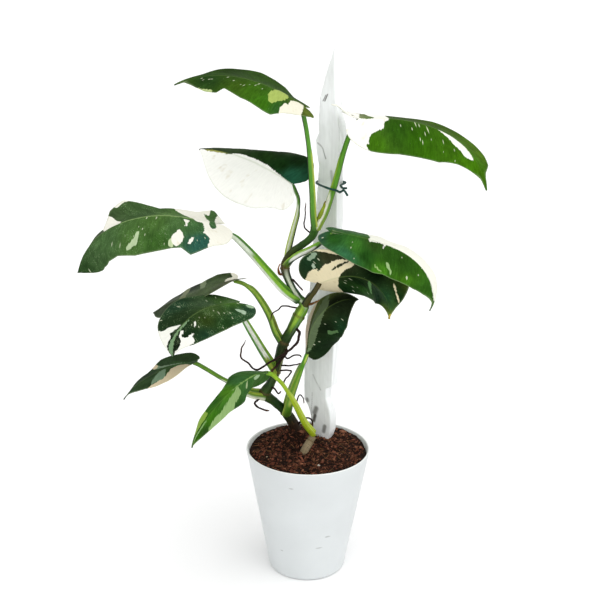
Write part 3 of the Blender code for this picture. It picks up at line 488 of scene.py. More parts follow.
# The board's left and right edges across its front face, by height
STAKE_RIGHT = (
    "52 -1, 144 -1, 155 2, 170 2.5, 182 1, 196 -4, 208 -4, 212 3, 245 4.5, 340 5.5, 400 6, 468 4.5, 484 8, "
    "495 9, 508 7, 520 3.5, 540 1, 588.5 -0.4"
)
STAKE_LEFT = (
    "52 -18, 147 -18, 165 -23, 182 -27, 190 -32.5, 240 -33, 290 -30, 340 -26, 400 -22, 464 -17, 480 -20.5, "
    "492 -21.5, 500 -18, 519 -18.5, 537 -17, 561 -11, 588.5 -1.4"
)
# Cracks on the front face: across and up, half width, and how dark
STAKE_CRACKS = (
    ("-8 541, -11 534", 0.5, 0.9),
    ("-10 540, -13 534", 0.4, 0.8),
    ("-19 489, -13 484, -9 473", 0.45, 0.7),
    ("-22 199, -22.5 180, -22.5 160", 0.35, 0.6),
    ("-28.5 190, -28 188", 1.4, 0.7),
    ("-16.5 181, -18.5 175", 2.0, 0.75),
    ("-18 172, -19.5 165", 1.5, 0.95),
    ("-5 161, -6.5 154", 1.6, 0.7),
    ("0 205, 3 204", 1.1, 0.5),
    ("-21 222, -16 213, -11 205", 0.5, 0.35),
    ("-2 460, -1 452, 0 447", 1.1, 0.35),
)
TIE_ROUTE = (
    "39 1 439, 35 4 444, 31 7 441.5, 27 3 444, 21 1 446, 15 6 447, 6 32 446, 12 49 446, 18 50 446, "
    "37 37 446, 32 21 446, 34 9 445.5, 38 6 446"
)
TIE_CROSSING = 33  # where the wire's two ends twist round each other, in front of TIE_FRONT
TIE_FRONT = 9

# Tables


def rows(text):
    """The numbers in a table's rows."""
    return np.array([row.split() for row in text.split(",") if row], float)


def between(text, places):
    """A table's second column at places along its first."""
    return np.interp(places, *rows(text).T)


def paint(code, level=LIGHT_LEVEL):
    """The surface colour that looks like a web-style one, such as 5b7d2a, in this much light."""
    shares = [int(code[k:k + 2], 16) / 255 for k in (0, 2, 4)]
    return np.array([c / 12.92 if c <= 0.04045 else ((c + 0.055) / 1.055) ** 2.4 for c in shares]) / level


def coloured_rows(text):
    """The numbers and the colour of each row."""
    parts = [row.split() for row in text.split(",") if row]
    return [([float(n) for n in numbers], paint(code)) for *numbers, code in parts]


# Curves

LEAST_ACROSS = 0.35  # a tube keeps its last face where less of the wished one lies across its path


def smooth(values, count):
    """This many rows, evenly along a smooth Catmull-Rom curve through the rows given."""
    last = len(values) - 1
    place = np.clip(np.linspace(0, last, count), 0, last - 1e-9)
    row = place.astype(int)
    past = (place - row)[:, None]
    longer = np.vstack([2 * values[0] - values[1], values, 2 * values[-1] - values[-2]])
    a, b, c, d = (longer[row + k] for k in range(4))
    squared, cubed = 2 * a - 5 * b + 4 * c - d, 3 * b - a - 3 * c + d
    return 0.5 * (2 * b + (c - a) * past + squared * past**2 + cubed * past**3)


def unit(vectors):
    """The same directions at a length of 1."""
    return vectors / (np.linalg.norm(vectors, axis=-1, keepdims=True) + 1e-12)


def soft_step(values, low, high):
    """0 up to the low value, 1 from the high one on, and a smooth rise between."""
    share = np.clip((values - low) / (high - low), 0, 1)
    return share * share * (3 - 2 * share)


def bell(distance, reach):
    """1 at no distance, falling smoothly towards 0."""
    return np.exp(-((distance / reach) ** 2))


def waves(seed, *fields):
    """A gentle random surface between about -1 and 1 over coordinates counted in its own lengths."""
    chance = np.random.default_rng(seed)
    total = 0
    for _ in range(6):
        slant = chance.normal(0, 2.2, len(fields))
        total = total + np.sin(sum(a * f for a, f in zip(slant, fields)) + chance.uniform(0, math.tau))
    return total / 3.2


def part_way(pair, share):
    """The number this share of the way from a pair's first to its second."""
    return pair[0] + (pair[1] - pair[0]) * share


def columns_at(x, places, values):
    """Each column of a table of values, read at x between the rows' places."""
    return np.stack([np.interp(x, places, column) for column in values.T], axis=-1)


def circle(sides):
    """Angles round a ring, in one row."""
    return np.linspace(0, math.tau, sides, endpoint=False)[None]


def around(reach, turns):
    """Two coordinates at this reach, for each turn."""
    return np.stack([reach * np.cos(turns), reach * np.sin(turns)], axis=-1)


def course(route, steps, sides):
    """A smooth path through a route, the share of it passed at each ring, and the turns round a ring."""
    path = smooth(route, steps * (len(route) - 1) + 1)
    return path, np.linspace(0, 1, len(path))[:, None], circle(sides)


def lengths_along(path):
    """The length passed at each point of a path, in one column."""
    steps = np.linalg.norm(np.diff(path, axis=0), axis=1)
    return np.append(0, np.cumsum(steps))[:, None]


def swept(path, offsets, face=(0, -1, 0)):
    """Points of a tube round a path, and the ways they look. Offsets are across, and towards the face."""
    tangents = unit(np.gradient(path, axis=0))
    facing = wish = np.array(face, float)
    facings = []
    for tangent in tangents:
        wanted = wish - tangent * (wish @ tangent)
        if np.linalg.norm(wanted) < LEAST_ACROSS * np.linalg.norm(wish):
            wanted = facing - tangent * (facing @ tangent)
        facing = unit(wanted)
        facings.append(facing)
    across = np.cross(tangents, facings)
    out = across[:, None] * offsets[..., :1] + np.array(facings)[:, None] * offsets[..., 1:]
    return path[:, None] + out, unit(out)


# Meshes

STRIPE_FADE = 0.03  # share of the length over which a stripe comes in and goes out


def layer_kind(title):
    """What a layer of values on a mesh is, the field that holds it, and the output that a material reads."""
    if title in ("tone_and_painted_light", "light", "ivory", "tint"):
        return "FLOAT_COLOR", "color", "Color"
    if title in ("vein", "grain"):
        return "FLOAT_VECTOR", "vector", "Vector"
    return "FLOAT", "value", "Fac"


def add_object(name, data):
    """A new object in the scene, made of this mesh, light or camera."""
    thing = bpy.data.objects.new(name, data)
    bpy.context.scene.collection.objects.link(thing)
    return thing


def add_piece(name, points, faces, nodes, finishes, layers, under=0, flat=False):
    """One mesh object that stands for CAD nodes. The last faces, as many as under, take the second finish."""
    mesh = bpy.data.meshes.new(name)
    mesh.from_pydata((np.reshape(points, (-1, 3)) * MM).tolist(), [], faces)
    for finish in finishes:
        mesh.materials.append(finish)
    second = np.arange(len(faces)) >= len(faces) - under
    mesh.polygons.foreach_set("material_index", second.astype(int))
    mesh.polygons.foreach_set("use_smooth", [not flat] * len(faces))
    for title, values in layers.items():
        kind, field, _ = layer_kind(title)
        values = np.reshape(values, (len(mesh.vertices), -1))
        if field == "color":
            values = np.pad(values, ((0, 0), (0, 1)), constant_values=1)
        mesh.attributes.new(title, kind, "POINT").data.foreach_set(field, values.astype(float).ravel())
    piece = add_object(name, mesh)
    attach(piece, "root")
    if nodes:
        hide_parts(*nodes)


def tube_faces(rings, sides, start=0):
    """Quads round a tube whose rings follow one another, and a cap at each end."""
    ring = np.arange(sides)
    after = (ring + 1) % sides
    first = np.arange(rings - 1)[:, None] * sides
    quads = np.stack([first + ring, first + after, first + sides + after, first + sides + ring], axis=-1)
    caps = [(ring[::-1] + start).tolist(), (ring + start + (rings - 1) * sides).tolist()]
    return (quads.reshape(-1, 4) + start).tolist() + caps


def add_grid(name, points, node, finish, layers):
    """A piece whose rings of points follow one another."""
    add_piece(name, points, tube_faces(*points.shape[:2]), [node], [finish], layers)


def banded(bands, shares):
    """The colour at each share of a length."""
    places, colours = zip(*coloured_rows(bands))
    return columns_at(shares, np.ravel(places), np.array(colours))


def stripe_and_painted_light_coats(stripes_and_painted_light, shares, looks):
    """For each soft-edged stripe, laid by the way a tube faces, its share at each point of a tube and its
    colour. Dark green ones are painted shade, some light ones painted highlights.
    """
    coats = []
    for (start, end, *side, spread), colour in coloured_rows(stripes_and_painted_light):
        edge = math.cos(math.radians(spread))
        share = soft_step(looks @ unit(np.array(side)), edge - 0.12, edge + 0.05)
        share *= soft_step(shares, start - STRIPE_FADE, start + STRIPE_FADE)
        share *= soft_step(-shares, -end - STRIPE_FADE, -end + STRIPE_FADE)
        coats.append((share, colour))
    return coats


def add_tube(name, node, finish, points, path, turns, seed, bands, coats=()):
    """A swept piece with bands of colour along it, coats of others laid over them, and lengthwise grain. On
    stalks and stem the coats include painted shade and highlights.
    """
    tint = np.broadcast_to(banded(bands, np.linspace(0, 1, len(path)))[:, None], points.shape)
    for share, colour in coats:
        tint = tint + (colour - tint) * share[..., None]
    along = lengths_along(path) + 0 * turns
    grain = np.concatenate([around(4 + 0 * along, turns), along[..., None] + 173 * seed], axis=-1)
    add_grid(name, points, node, finish, {"tint": tint, "grain": grain})


# Materials

NOISE_SPAN = (0.25, 0.75)  # where most values of a noise lie


class Shader:
    """A Principled material whose nodes are added and linked by short calls."""

    def __init__(self, name, roughness, specular):
        self.material = bpy.data.materials.new(name)
        self.material.use_nodes = True
        self.tree = self.material.node_tree
        self.surface = self.tree.nodes["Principled BSDF"].inputs
        self.feed(self.surface["Roughness"], roughness)
        self.feed(self.surface["Specular IOR Level"], specular)

    def feed(self, socket, value):
        """Gives an input another node's output or a constant. None leaves it as it is."""
        if isinstance(value, bpy.types.NodeSocket):
            self.tree.links.new(value, socket)
        elif value is not None:
            socket.default_value = (*value, 1) if socket.type == "RGBA" else value

    def add(self, kind, *values, output=0, **named):
        """An output of a new node. Values go to its inputs in order, and a capital name is an input's too."""
        node = self.tree.nodes.new("ShaderNode" + kind)
        for name, value in named.items():
            if name.istitle():
                self.feed(node.inputs[name], value)
            else:
                setattr(node, name, value)
        for socket, value in zip(node.inputs, values):
            self.feed(socket, value)
        return node.outputs[output]

    def maths(self, operation, *values):
        return self.add("Math", *values, operation=operation)

    def layer(self, title):
        return self.add("Attribute", attribute_name=title, output=layer_kind(title)[2])

    def place(self):
        return self.add("TexCoord", output="Object")

    def stretch(self, place, scale):
        return self.add("VectorMath", place, scale, operation="MULTIPLY")

    def noise(self, place, scale, detail):
        """Noise from 0 to 1. The scale is one number, or one for each direction."""
        if isinstance(scale, tuple):
            place, scale = self.stretch(place, scale), 1.0
        return self.add("TexNoise", place, Scale=scale, Detail=detail)

    def step(self, value, low, high, start=0.0, end=1.0):
        """A soft step from start to end, as the value goes from low to high."""
        return self.add("MapRange", value, low, high, start, end, interpolation_type="SMOOTHSTEP")

    def mix(self, share, first, second, way="MIX"):
        """This share of the second colour over the first. The node's colours come after its other inputs."""
        unused = [None] * 5
        return self.add("Mix", share, *unused, first, second, output=2, data_type="RGBA", blend_type=way)

    def shade(self, colour, share, low, high):
        """A colour made darker or lighter between two factors by a share from 0 to 1."""
        factor = self.add("MapRange", share, *NOISE_SPAN, low, high)
        return self.mix(1.0, colour, self.add("CombineColor", factor, factor, factor), "MULTIPLY")

    def finish(self, colour, height, depth):
        """Ends the material with its colour, and bumps of this depth in millimetres."""
        self.feed(self.surface["Base Color"], colour)
        self.feed(self.surface["Normal"], self.add("Bump", Distance=depth * MM, Height=height))
        return self.material


def leaf_streaks(shader):
    """Noise drawn out along the side veins: fine, medium and broad."""
    vein = shader.layer("vein")
    sizes = (((2.9, 0.55, 1), 2), ((0.75, 0.11, 1), 3), ((0.14, 0.06, 1), 2))
    return [shader.noise(vein, scale, detail) for scale, detail in sizes]


def patched(shader, green, light, ivory, streaks):
    """Lays the pale patches and the cream over the green, their borders drawn out along the veins."""
    shift = shader.maths("SUBTRACT", streaks, 0.5)
    for title, reach, colour in (("pale", 5.0, light), ("cream", 4.0, ivory)):
        field = shader.maths("ADD", shader.layer(title), shader.maths("MULTIPLY", shift, reach))
        green = shader.mix(shader.step(field, -0.35, 0.35), green, colour)
    return green


@cache
def leaf_face():
    """The upper face: marbled green with painted sheen, highlights and shade in it, then pale and cream
    patches, dashes, midrib and margin over it.
    """
    shader = Shader("leaf_face", settings().leaf_roughness, 0.004)
    fine, medium, broad = leaf_streaks(shader)
    green = shader.shade(shader.layer("tone_and_painted_light"), medium, 0.74, 1.26)
    green = shader.shade(shader.shade(green, broad, 0.75, 1.25), fine, 0.8, 1.2)
    crowd = shader.maths("MULTIPLY", shader.layer("speckle"), shader.step(broad, 0.3, 0.7, 0.02, 0.2))
    freckle = shader.maths("ADD", fine, crowd)
    green = shader.mix(shader.step(freckle, 0.75, 0.79, 0, 0.6), green, paint("b4cc9c"))
    splash = shader.shade(shader.layer("light"), medium, 0.86, 1.1)
    ivory = shader.shade(shader.layer("ivory"), medium, 0.95, 1.03)
    ivory = shader.mix(shader.step(broad, 0.6, 0.72, 0, 0.25), ivory, paint("c9b98a"))
    ivory = shader.mix(shader.step(fine, 0.74, 0.8, 0, 0.3), ivory, paint("a9a06a"))
    mixed = patched(shader, green, splash, ivory, medium)
    mixed = shader.mix(shader.step(shader.layer("dash"), -0.25, 0.2, 0, 0.85), mixed, paint("dfe6c4"))
    mixed = shader.mix(shader.maths("MULTIPLY", shader.layer("rib"), 0.25), mixed, paint("8aa85a"))
    mixed = shader.mix(shader.layer("margin"), mixed, paint("c4d6a4"))
    return shader.finish(mixed, shader.maths("ADD", shader.maths("MULTIPLY", fine, 0.4), medium), 0.12)


@cache
def leaf_underside():
    """The underside: the same patches, paler and more matt."""
    shader = Shader("leaf_underside", 0.6, 0.03)
    fine, medium, broad = leaf_streaks(shader)
    # The tones, with their painted sheen, highlights and shade, mixed with a paler green
    green = shader.shade(shader.mix(0.45, shader.layer("tone_and_painted_light"), paint("8fa67c")), broad, 0.85, 1.15)
    mixed = patched(shader, green, shader.layer("light"), shader.layer("ivory"), medium)
    mixed = shader.mix(shader.maths("MULTIPLY", shader.layer("rib"), 0.6), mixed, paint("a9ba84"))
    return shader.finish(mixed, fine, 0.1)


@cache
def green_skin(name, roughness, low, depth):
    """The skin of stalks and stems: their own colours, with streaks along them and a few brown specks."""
    shader = Shader(name, roughness, 0.15)
    grain = shader.layer("grain")
    streaks = shader.noise(grain, (1.3, 1.3, 0.12), 3)
    blotches = shader.noise(grain, (0.35, 0.35, 0.16), 3)
    colour = shader.shade(shader.layer("tint"), streaks, low, 1.3)
    colour = shader.mix(shader.step(blotches, 0.66, 0.74, 0, 0.5), colour, paint("5e4526"))
    return shader.finish(colour, streaks, depth)


@cache
def bark_skin():
    """Stub, roots and scales: dry and matt, with fine lengthwise grain."""
    shader = Shader("bark_skin", 0.8, 0.2)
    grain = shader.layer("grain")
    streaks, rings = shader.noise(grain, (1.6, 1.6, 0.25), 4), shader.noise(grain, (0.1, 0.1, 1.2), 2)
    colour = shader.shade(shader.shade(shader.layer("tint"), streaks, 0.55, 1.4), rings, 0.8, 1.15)
    return shader.finish(colour, shader.maths("ADD", streaks, rings), 0.35)


@cache
def pot_plastic():
    """White plastic with faint clouds, fine scuffs and a few grey marks that are wider than they are tall."""
    shader = Shader("pot_plastic", None, 0.25)
    place = shader.place()
    scuffs = shader.noise(place, (260.0, 260.0, 700.0), 4)
    colour = shader.shade(shader.layer("tint"), shader.noise(place, 22.0, 3), 0.96, 1.03)
    colour = shader.mix(shader.step(scuffs, 0.7, 0.78, 0, 0.16), colour, paint("9a9a92"))
    flattened = shader.stretch(place, MARK_FLATTENING)
    for *mark, size in rows(POT_MARKS) * MM:
        centre = np.multiply(mark, MARK_FLATTENING)
        away = shader.add("VectorMath", flattened, centre, operation="DISTANCE", output=1)
        away = shader.maths("ADD", away, shader.maths("MULTIPLY", scuffs, 1.6 * size))
        colour = shader.mix(shader.step(away, 1.9 * size, 1.2 * size, 0, 0.45), colour, paint("7c7e78"))
    shader.feed(shader.surface["Roughness"], shader.step(shader.noise(place, 60.0, 3), 0.3, 0.7, 0.34, 0.46))
    return shader.finish(colour, shader.noise(place, 700.0, 2), 0.03)


@cache
def soil_crumb():
    """Soil, chips and fibres: matt and crumbly."""
    shader = Shader("soil_crumb", 0.95, 0.15)
    place = shader.place()
    colour = shader.shade(shader.layer("tint"), shader.noise(place, 900.0, 4), 0.5, 1.5)
    return shader.finish(colour, shader.noise(place, 1400.0, 4), 0.5)


@cache
def stake_paint():
    """White paint with long brush grain, duller patches, fine splits and the stake's own dark cracks."""
    shader = Shader("stake_paint", 0.5, 0.4)
    place = shader.place()
    grain = shader.noise(place, (420.0, 420.0, 22.0), 4)
    patches = shader.noise(place, (60.0, 60.0, 14.0), 3)
    cracks = shader.noise(place, (300.0, 300.0, 9.0), 2)
    colour = shader.shade(shader.layer("tint"), grain, 0.94, 1.04)
    colour = shader.mix(shader.step(patches, 0.56, 0.72, 0, 0.25), colour, paint("cdd0ce"))
    colour = shader.mix(shader.step(cracks, 0.76, 0.8, 0, 0.4), colour, paint("8d8a84"))
    colour = shader.mix(shader.layer("dark"), colour, paint("4f4a42"))
    depth = shader.maths("MULTIPLY", shader.step(cracks, 0.68, 0.74), 1.5)
    height = shader.maths("SUBTRACT", grain, depth)
    return shader.finish(colour, height, 0.35)


@cache
def tie_coating():
    """The wire's dark green plastic, a little cloudy."""
    shader = Shader("tie_coating", 0.45, 0.2)
    cloud = shader.noise(shader.place(), 500.0, 2)
    return shader.finish(shader.shade(shader.layer("tint"), cloud, 0.75, 1.35), cloud, 0.1)


@cache
def studio_floor():
    """A nearly white floor with a hardly visible pattern."""
    shader = Shader("studio_floor", 0.8, 0.1)
    cloud = shader.noise(shader.place(), 3.0, 2)
    grey = shader.add("MapRange", cloud, 0, 1, 0.96, 0.98)
    shader.feed(shader.surface["Base Color"], shader.add("CombineColor", grey, grey, grey))
    return shader.material


# Leaves


def bent_midrib(leaf):
    """Places and directions along the midrib, at shares of its length from a little behind the stalk."""
    first, last = MIDRIB_SPAN
    shares = np.linspace(first, last, round((last - first) * MIDRIB_STEPS) + 1)
    inside = np.clip(shares, 0, 1)
    turn = np.radians(part_way(leaf.heading, inside))
    rise = np.radians(part_way(leaf.climb, inside**leaf.late))
    roll = np.radians(part_way(leaf.roll, inside))[:, None]
    tangent = np.column_stack([around(np.cos(rise), turn), np.sin(rise)])
    level = np.column_stack([-np.sin(turn), np.cos(turn), 0 * turn])
    side = level * np.cos(roll) + np.cross(tangent, level) * np.sin(roll)
    steps = (tangent[1:] + tangent[:-1]) * 0.5 * (shares[1] - shares[0]) * leaf.length
    place = np.vstack([np.zeros(3), np.cumsum(steps, axis=0)])
    return shares, place - columns_at(0, shares, place) + leaf.base, side, np.cross(tangent, side)


def bent(leaf, x, y):
    """Points of the flat leaf, in shares, once it is bent. The left half has y above zero."""
    shares, *frame_rows = bent_midrib(leaf)
    places, sides, ups = (columns_at(x, shares, values) for values in frame_rows)
    left = y >= 0
    reach = np.abs(y) * np.where(left, leaf.left_share, leaf.right_share)
    inside = np.clip(x, 0, 1)
    fold = np.radians(np.where(left, part_way(leaf.fold_left, inside), part_way(leaf.fold_right, inside)))
    curl = np.radians(np.where(left, *leaf.curl))
    out = (np.sin(fold + curl * reach) - np.sin(fold)) / curl * leaf.half_width
    lift = (np.cos(fold) - np.cos(fold + curl * reach)) / curl * leaf.half_width
    return places + sides * (np.where(left, 1, -1) * out)[..., None] + ups * lift[..., None]


def flat_leaf(leaf, marking):
    """A grid over the flat leaf: rows follow the side veins, and columns run from right margin to left.

    s is the share of the outline passed at each row, and u goes from -1 at the right margin to 1 at the left.
    x and y are the place on the flat leaf, in shares of its length and its half width.
    """
    s = np.linspace(0, LAST_ROW, int(leaf.length / ROW_SPACING))[:, None]
    u = np.linspace(-1, 1, 2 * HALF_COLUMNS + 1)[None]
    outline = smooth(rows(BLADE_OUTLINE) / 100, OUTLINE_SAMPLES + 1)
    edge_x, edge_y = np.hsplit(outline[np.round(s[:, 0] * OUTLINE_SAMPLES).astype(int)], 2)
    edge_y = edge_y * (1 - leaf.taper * np.maximum(edge_x - TAPER_START, 0))
    factor = np.where(u < 0, between(marking.right_edge, 100 * s), between(marking.left_edge, 100 * s)) / 100
    margin = np.where(edge_x < 0, edge_x * np.where(u < 0, marking.lobes[1], marking.lobes[0]), edge_x)
    rib = s**RIB_GATHER
    x = rib + (margin - rib) * np.abs(u) + marking.tip * soft_step(s, 0.9, 1)
    return s + 0 * u, u + 0 * s, x, edge_y * u * factor


def leaf_relief(leaf, s, u, x, y):
    """How far the upper face stands above the plain bent sheet, and how far the underside lies below it."""
    seed = int(leaf.name)
    from_rib = np.abs(y) * leaf.half_width
    phase = s**RIB_GATHER * leaf.length / VEIN_SPACING + 0.35 * np.sign(u) + 0.15 * np.sin(5 * s)
    from_vein = np.abs(phase - np.round(phase)) * VEIN_SPACING
    veins = bell(from_vein, VEIN_WIDTH) * soft_step(1 - np.abs(u), 0.02, 0.25)
    pucker = PUCKER * waves(seed, x * leaf.length / 16, y * leaf.half_width / 20)
    flutter = FLUTTER * waves(seed + 40, x * leaf.length / 22, np.sign(u) * 2) * np.abs(u) ** 3
    groove = RIB_GROOVE * bell(from_rib, 1.1) + settings().vein_depth / MM * veins
    rib = RIB_HEIGHT * bell(from_rib, 1.5) * (1 - 0.8 * x) + 0.12 * veins
    skin = SKIN_DEPTH * (1 - 0.5 * soft_step(np.abs(u), 0.8, 1)) + np.maximum(rib, 0)
    return pucker + flutter - groove - FACE_DROP, skin


def inside_outlines(text, spot, size):
    """Millimetres inside (+) or outside (-) the nearest of some smooth closed outlines."""
    field = np.full(spot.shape[:-1], FAR_OUTSIDE)
    for outline in (rows(part) for part in text.split(";") if part):
        ring = np.vstack([outline[-2:], outline, outline[:3]])
        curve = smooth(ring, PATCH_STEPS * (len(ring) - 1) + 1)
        curve = curve[2 * PATCH_STEPS:-2 * PATCH_STEPS] * size / 100
        starts, ends, points = curve[:-1], curve[1:], spot.reshape(-1, 1, 2)
        step, from_start = ends - starts, points - starts
        share = np.clip((from_start * step).sum(-1) / ((step**2).sum(-1) + 1e-9), 0, 1)
        away = np.sqrt(((from_start - step * share[..., None]) ** 2).sum(-1)).min(1)
        crosses = (starts[:, 1] > points[..., 1]) != (ends[:, 1] > points[..., 1])
        crossing = starts[:, 0] + from_start[..., 1] * step[:, 0] / np.where(crosses, step[:, 1], 1)
        within = (crosses & (points[..., 0] < crossing)).sum(1) % 2 == 1
        field = np.maximum(field, np.where(within, away, -away).reshape(field.shape))
    return field


def pale_patches(marking, spot, size):
    """Distance into the nearest pale patch, and that patch's colour."""
    field = np.full(spot.shape[:-1], FAR_OUTSIDE)
    colour = np.full((*field.shape, 3), paint("9db57a"))
    for code, outline in marking.pale.items():
        own = inside_outlines(outline, spot, size)
        nearer = own > field
        field[nearer], colour[nearer] = own[nearer], paint(code)
    return field, colour


def dash_field(marking, spot, size):
    """Short pale dashes that lie along the side veins."""
    field = np.full(spot.shape[:-1], NO_DASH)
    for *place, length in rows(marking.dashes):
        centre = place * size / 100
        away = ((spot - centre) ** 2).sum(-1)
        row = np.unravel_index(away.argmin(), away.shape)[0]
        vein = unit(spot[row, -1 if centre[1] >= 0 else 0] - spot[row, HALF_COLUMNS])
        lies = (spot - centre) @ vein / (length / 2)
        off = (spot - centre) @ np.array([-vein[1], vein[0]]) / DASH_HALF_WIDTH
        field = np.maximum(field, DASH_HALF_WIDTH * (1 - np.hypot(lies, off)))
    return field


def tone_and_painted_light_field(marking, spot, size):
    """The green at every point, painted sheen, highlights and shade included, blended between the places
    where it is given.
    """
    total, weight = 0, 0
    for place, colour in coloured_rows(marking.tones_and_painted_light):
        away = ((spot - place * size / 100) ** 2).sum(-1)
        share = (1 / (away + 20) ** 1.5)[..., None]
        total, weight = total + share * colour, weight + share
    return total / weight


def leaf_layers(leaf, marking, s, u, x, y):
    """What the leaf's materials read, at every point of its grid."""
    size = np.array([leaf.length, leaf.half_width])
    spot = np.stack([x, y], axis=-1) * size
    cream = inside_outlines(marking.cream, spot, size)
    if marking.islands:
        cream = np.minimum(cream, -inside_outlines(marking.islands, spot, size))
    pale, light = pale_patches(marking, spot, size)
    width = np.abs(y[:, [0, -1]]).max(axis=1)[:, None] * leaf.half_width
    margin = bell((1 - np.abs(u)) * width, 0.5) * soft_step(1 - s, 0, 0.1)
    own_place = 50 * int(leaf.name) + 9 * np.sign(u)
    return {
        "vein": np.stack([s * leaf.length, np.abs(u) * leaf.half_width, own_place], axis=-1),
        "cream": cream,
        "pale": pale,
        "light": light,
        "dash": dash_field(marking, spot, size),
        "tone_and_painted_light": tone_and_painted_light_field(marking, spot, size),
        "ivory": np.full((*x.shape, 3), paint(marking.ivory, 1)),
        "margin": marking.margin * margin,
        "rib": bell(spot[..., 1], 0.7) * soft_step(1 - x, 0, 0.3),
        "speckle": np.full(x.shape, marking.speckle),
    }


def make_leaf(leaf):
    """Two faces over one grid, closed by a rim. The underside takes the second finish."""
    marking = MARKINGS[leaf.name]
    s, u, x, y = flat_leaf(leaf, marking)
    sheet = bent(leaf, x, y)
    sheet[..., 2] += marking.raised * soft_step(-x, 0, 0.12) * soft_step(y, 0, 0.3)
    normal = unit(np.cross(np.gradient(sheet, axis=0), np.gradient(sheet, axis=1)))
    top_rise, skin = leaf_relief(leaf, s, u, x, y)
    top = sheet + normal * top_rise[..., None]
    number = np.arange(x.size).reshape(x.shape)
    corners = number[:-1, :-1], number[1:, :-1], number[1:, 1:], number[:-1, 1:]
    quads = np.stack(corners, axis=-1).reshape(-1, 4)
    loop = np.concatenate([number[0], number[1:, -1], number[-1, -2::-1], number[-2:0:-1, 0]])
    after = np.roll(loop, -1)
    rim = np.stack([loop, after, after + x.size, loop + x.size], axis=1)
    faces = np.concatenate([quads, rim, quads[:, ::-1] + x.size]).tolist()
    layers = {title: [values, values] for title, values in leaf_layers(leaf, marking, s, u, x, y).items()}
    add_piece(f"blade_{leaf.name}", [top, top - normal * skin[..., None]], faces,
              [f"leaf_blade_{leaf.name}"], [leaf_face(), leaf_underside()], layers, len(quads))


# Stalks and stem

STALK_SIDES = 30
STALK_GAP = 0.8  # from a blade's underside to its stalk's end
CHANNEL_HALF_WIDTH = 24
WING_ANGLE = 38  # from the middle of the channel
WING_HEIGHT = 1.5


def under_midrib(leaf, depth):
    """A point this deep under the start of the midrib, midway between the blade's two halves."""
    shares, *frame_rows = bent_midrib(leaf)
    start, side, up = (columns_at(0, shares, values) for values in frame_rows)
    left, right = math.radians(leaf.fold_left[0]), math.radians(leaf.fold_right[0])
    lean, opening = (left - right) / 2, max(math.cos((left + right) / 2), 0.5)
    return start + (side * math.sin(lean) - up * math.cos(lean)) * depth / opening


def make_stalk(stalk, leaf):
    """An oval tube with a channel along it, and the sheath's two wings beside the channel."""
    route = np.vstack([rows(stalk.route), under_midrib(leaf, SKIN_DEPTH + STALK_GAP)])
    path, shares, turns = course(route, 10, STALK_SIDES)
    spread = np.clip(1 - shares / stalk.sheath, 0, 1) ** 0.7
    width, depth = (part_way(pair, spread) for pair in zip(stalk.top, stalk.foot))
    from_channel = np.degrees(np.abs(np.angle(np.exp(1j * (turns - math.pi / 2)))))
    channel = bell(from_channel, CHANNEL_HALF_WIDTH) * (0.18 + 0.25 * spread)
    wings = bell(from_channel - WING_ANGLE, 9) * WING_HEIGHT * soft_step(stalk.sheath - shares, 0, 0.08)
    growth = (1 - channel + 0.8 * wings / depth) * (1 - 0.35 * soft_step(shares, 0.97, 1))
    offsets = np.stack([width * np.cos(turns) * growth, depth * np.sin(turns) * growth], axis=-1)
    points, looks = swept(path, offsets, stalk.face)
    wing_coat = bell(from_channel - WING_ANGLE, 16) * soft_step(stalk.sheath - shares, 0, 0.1)
    # The stripes include painted shade down the stalk's dark sides and painted highlights along some light
    # lines.
    coats = [(wing_coat, paint(stalk.wing)), *stripe_and_painted_light_coats(stalk.stripes_and_painted_light, shares, looks)]
    skin = green_skin("stalk_skin", 0.38, 0.7, 0.15)
    add_tube(f"stalk_{stalk.name}", f"leaf_stalk_{stalk.name}", skin, points, path, turns,
             int(stalk.name), stalk.bands, coats)


def make_round_stem(name, node, finish, stations, bands, stripes_and_painted_light, nodes, seed):
    """The stem or its stub: a tube with uneven skin and raised rings where leaves grew."""
    stations, shares, turns = course(rows(stations), 12, 36)
    path, radii = stations[:, :3], stations[:, 3:]
    along = lengths_along(path)
    across, facing = np.moveaxis(around(2 + 0 * along, turns), -1, 0)
    reach = radii - 0.2 + 0.25 * waves(seed, across, facing, along / 7)
    scars = []
    for place in nodes:
        past = (shares - place) * along[-1]
        reach = reach + 0.75 * bell(past, 1.1) - 0.35 * bell(past - 2.4, 1.0)
        scars.append((bell(past - 1.2, 1.3) * 0.7, paint("5e4a2a")))
    points, looks = swept(path, around(reach, turns))
    # The stem's stripes include painted shade down its dark sides.
    coats = stripe_and_painted_light_coats(stripes_and_painted_light, shares, looks) + scars
    add_tube(name, node, finish, points, path, turns, seed, bands, coats)


def make_roots():
    """Each air root: a thin tube that wavers and narrows to its tip."""
    for number, (route, thick, thin) in enumerate(ROOTS, 1):
        path, shares, turns = course(rows(route), 9, 12)
        along = lengths_along(path)
        seed = 60 + number
        reach = (thick + (thin - thick) * shares) * (1 + 0.13 * waves(seed, along / 3, np.cos(turns)))
        reach = reach * (1 - 0.6 * soft_step(shares, 0.94, 1))
        path = path + 0.35 * np.hstack([waves(seed + axis, along / 5) for axis in (1, 2, 3)])
        points, _ = swept(path, around(reach, turns))
        add_tube(f"root_{number:02d}", f"air_root_{number:02d}", bark_skin(), points, path, turns,
                 seed, ROOT_BANDS)


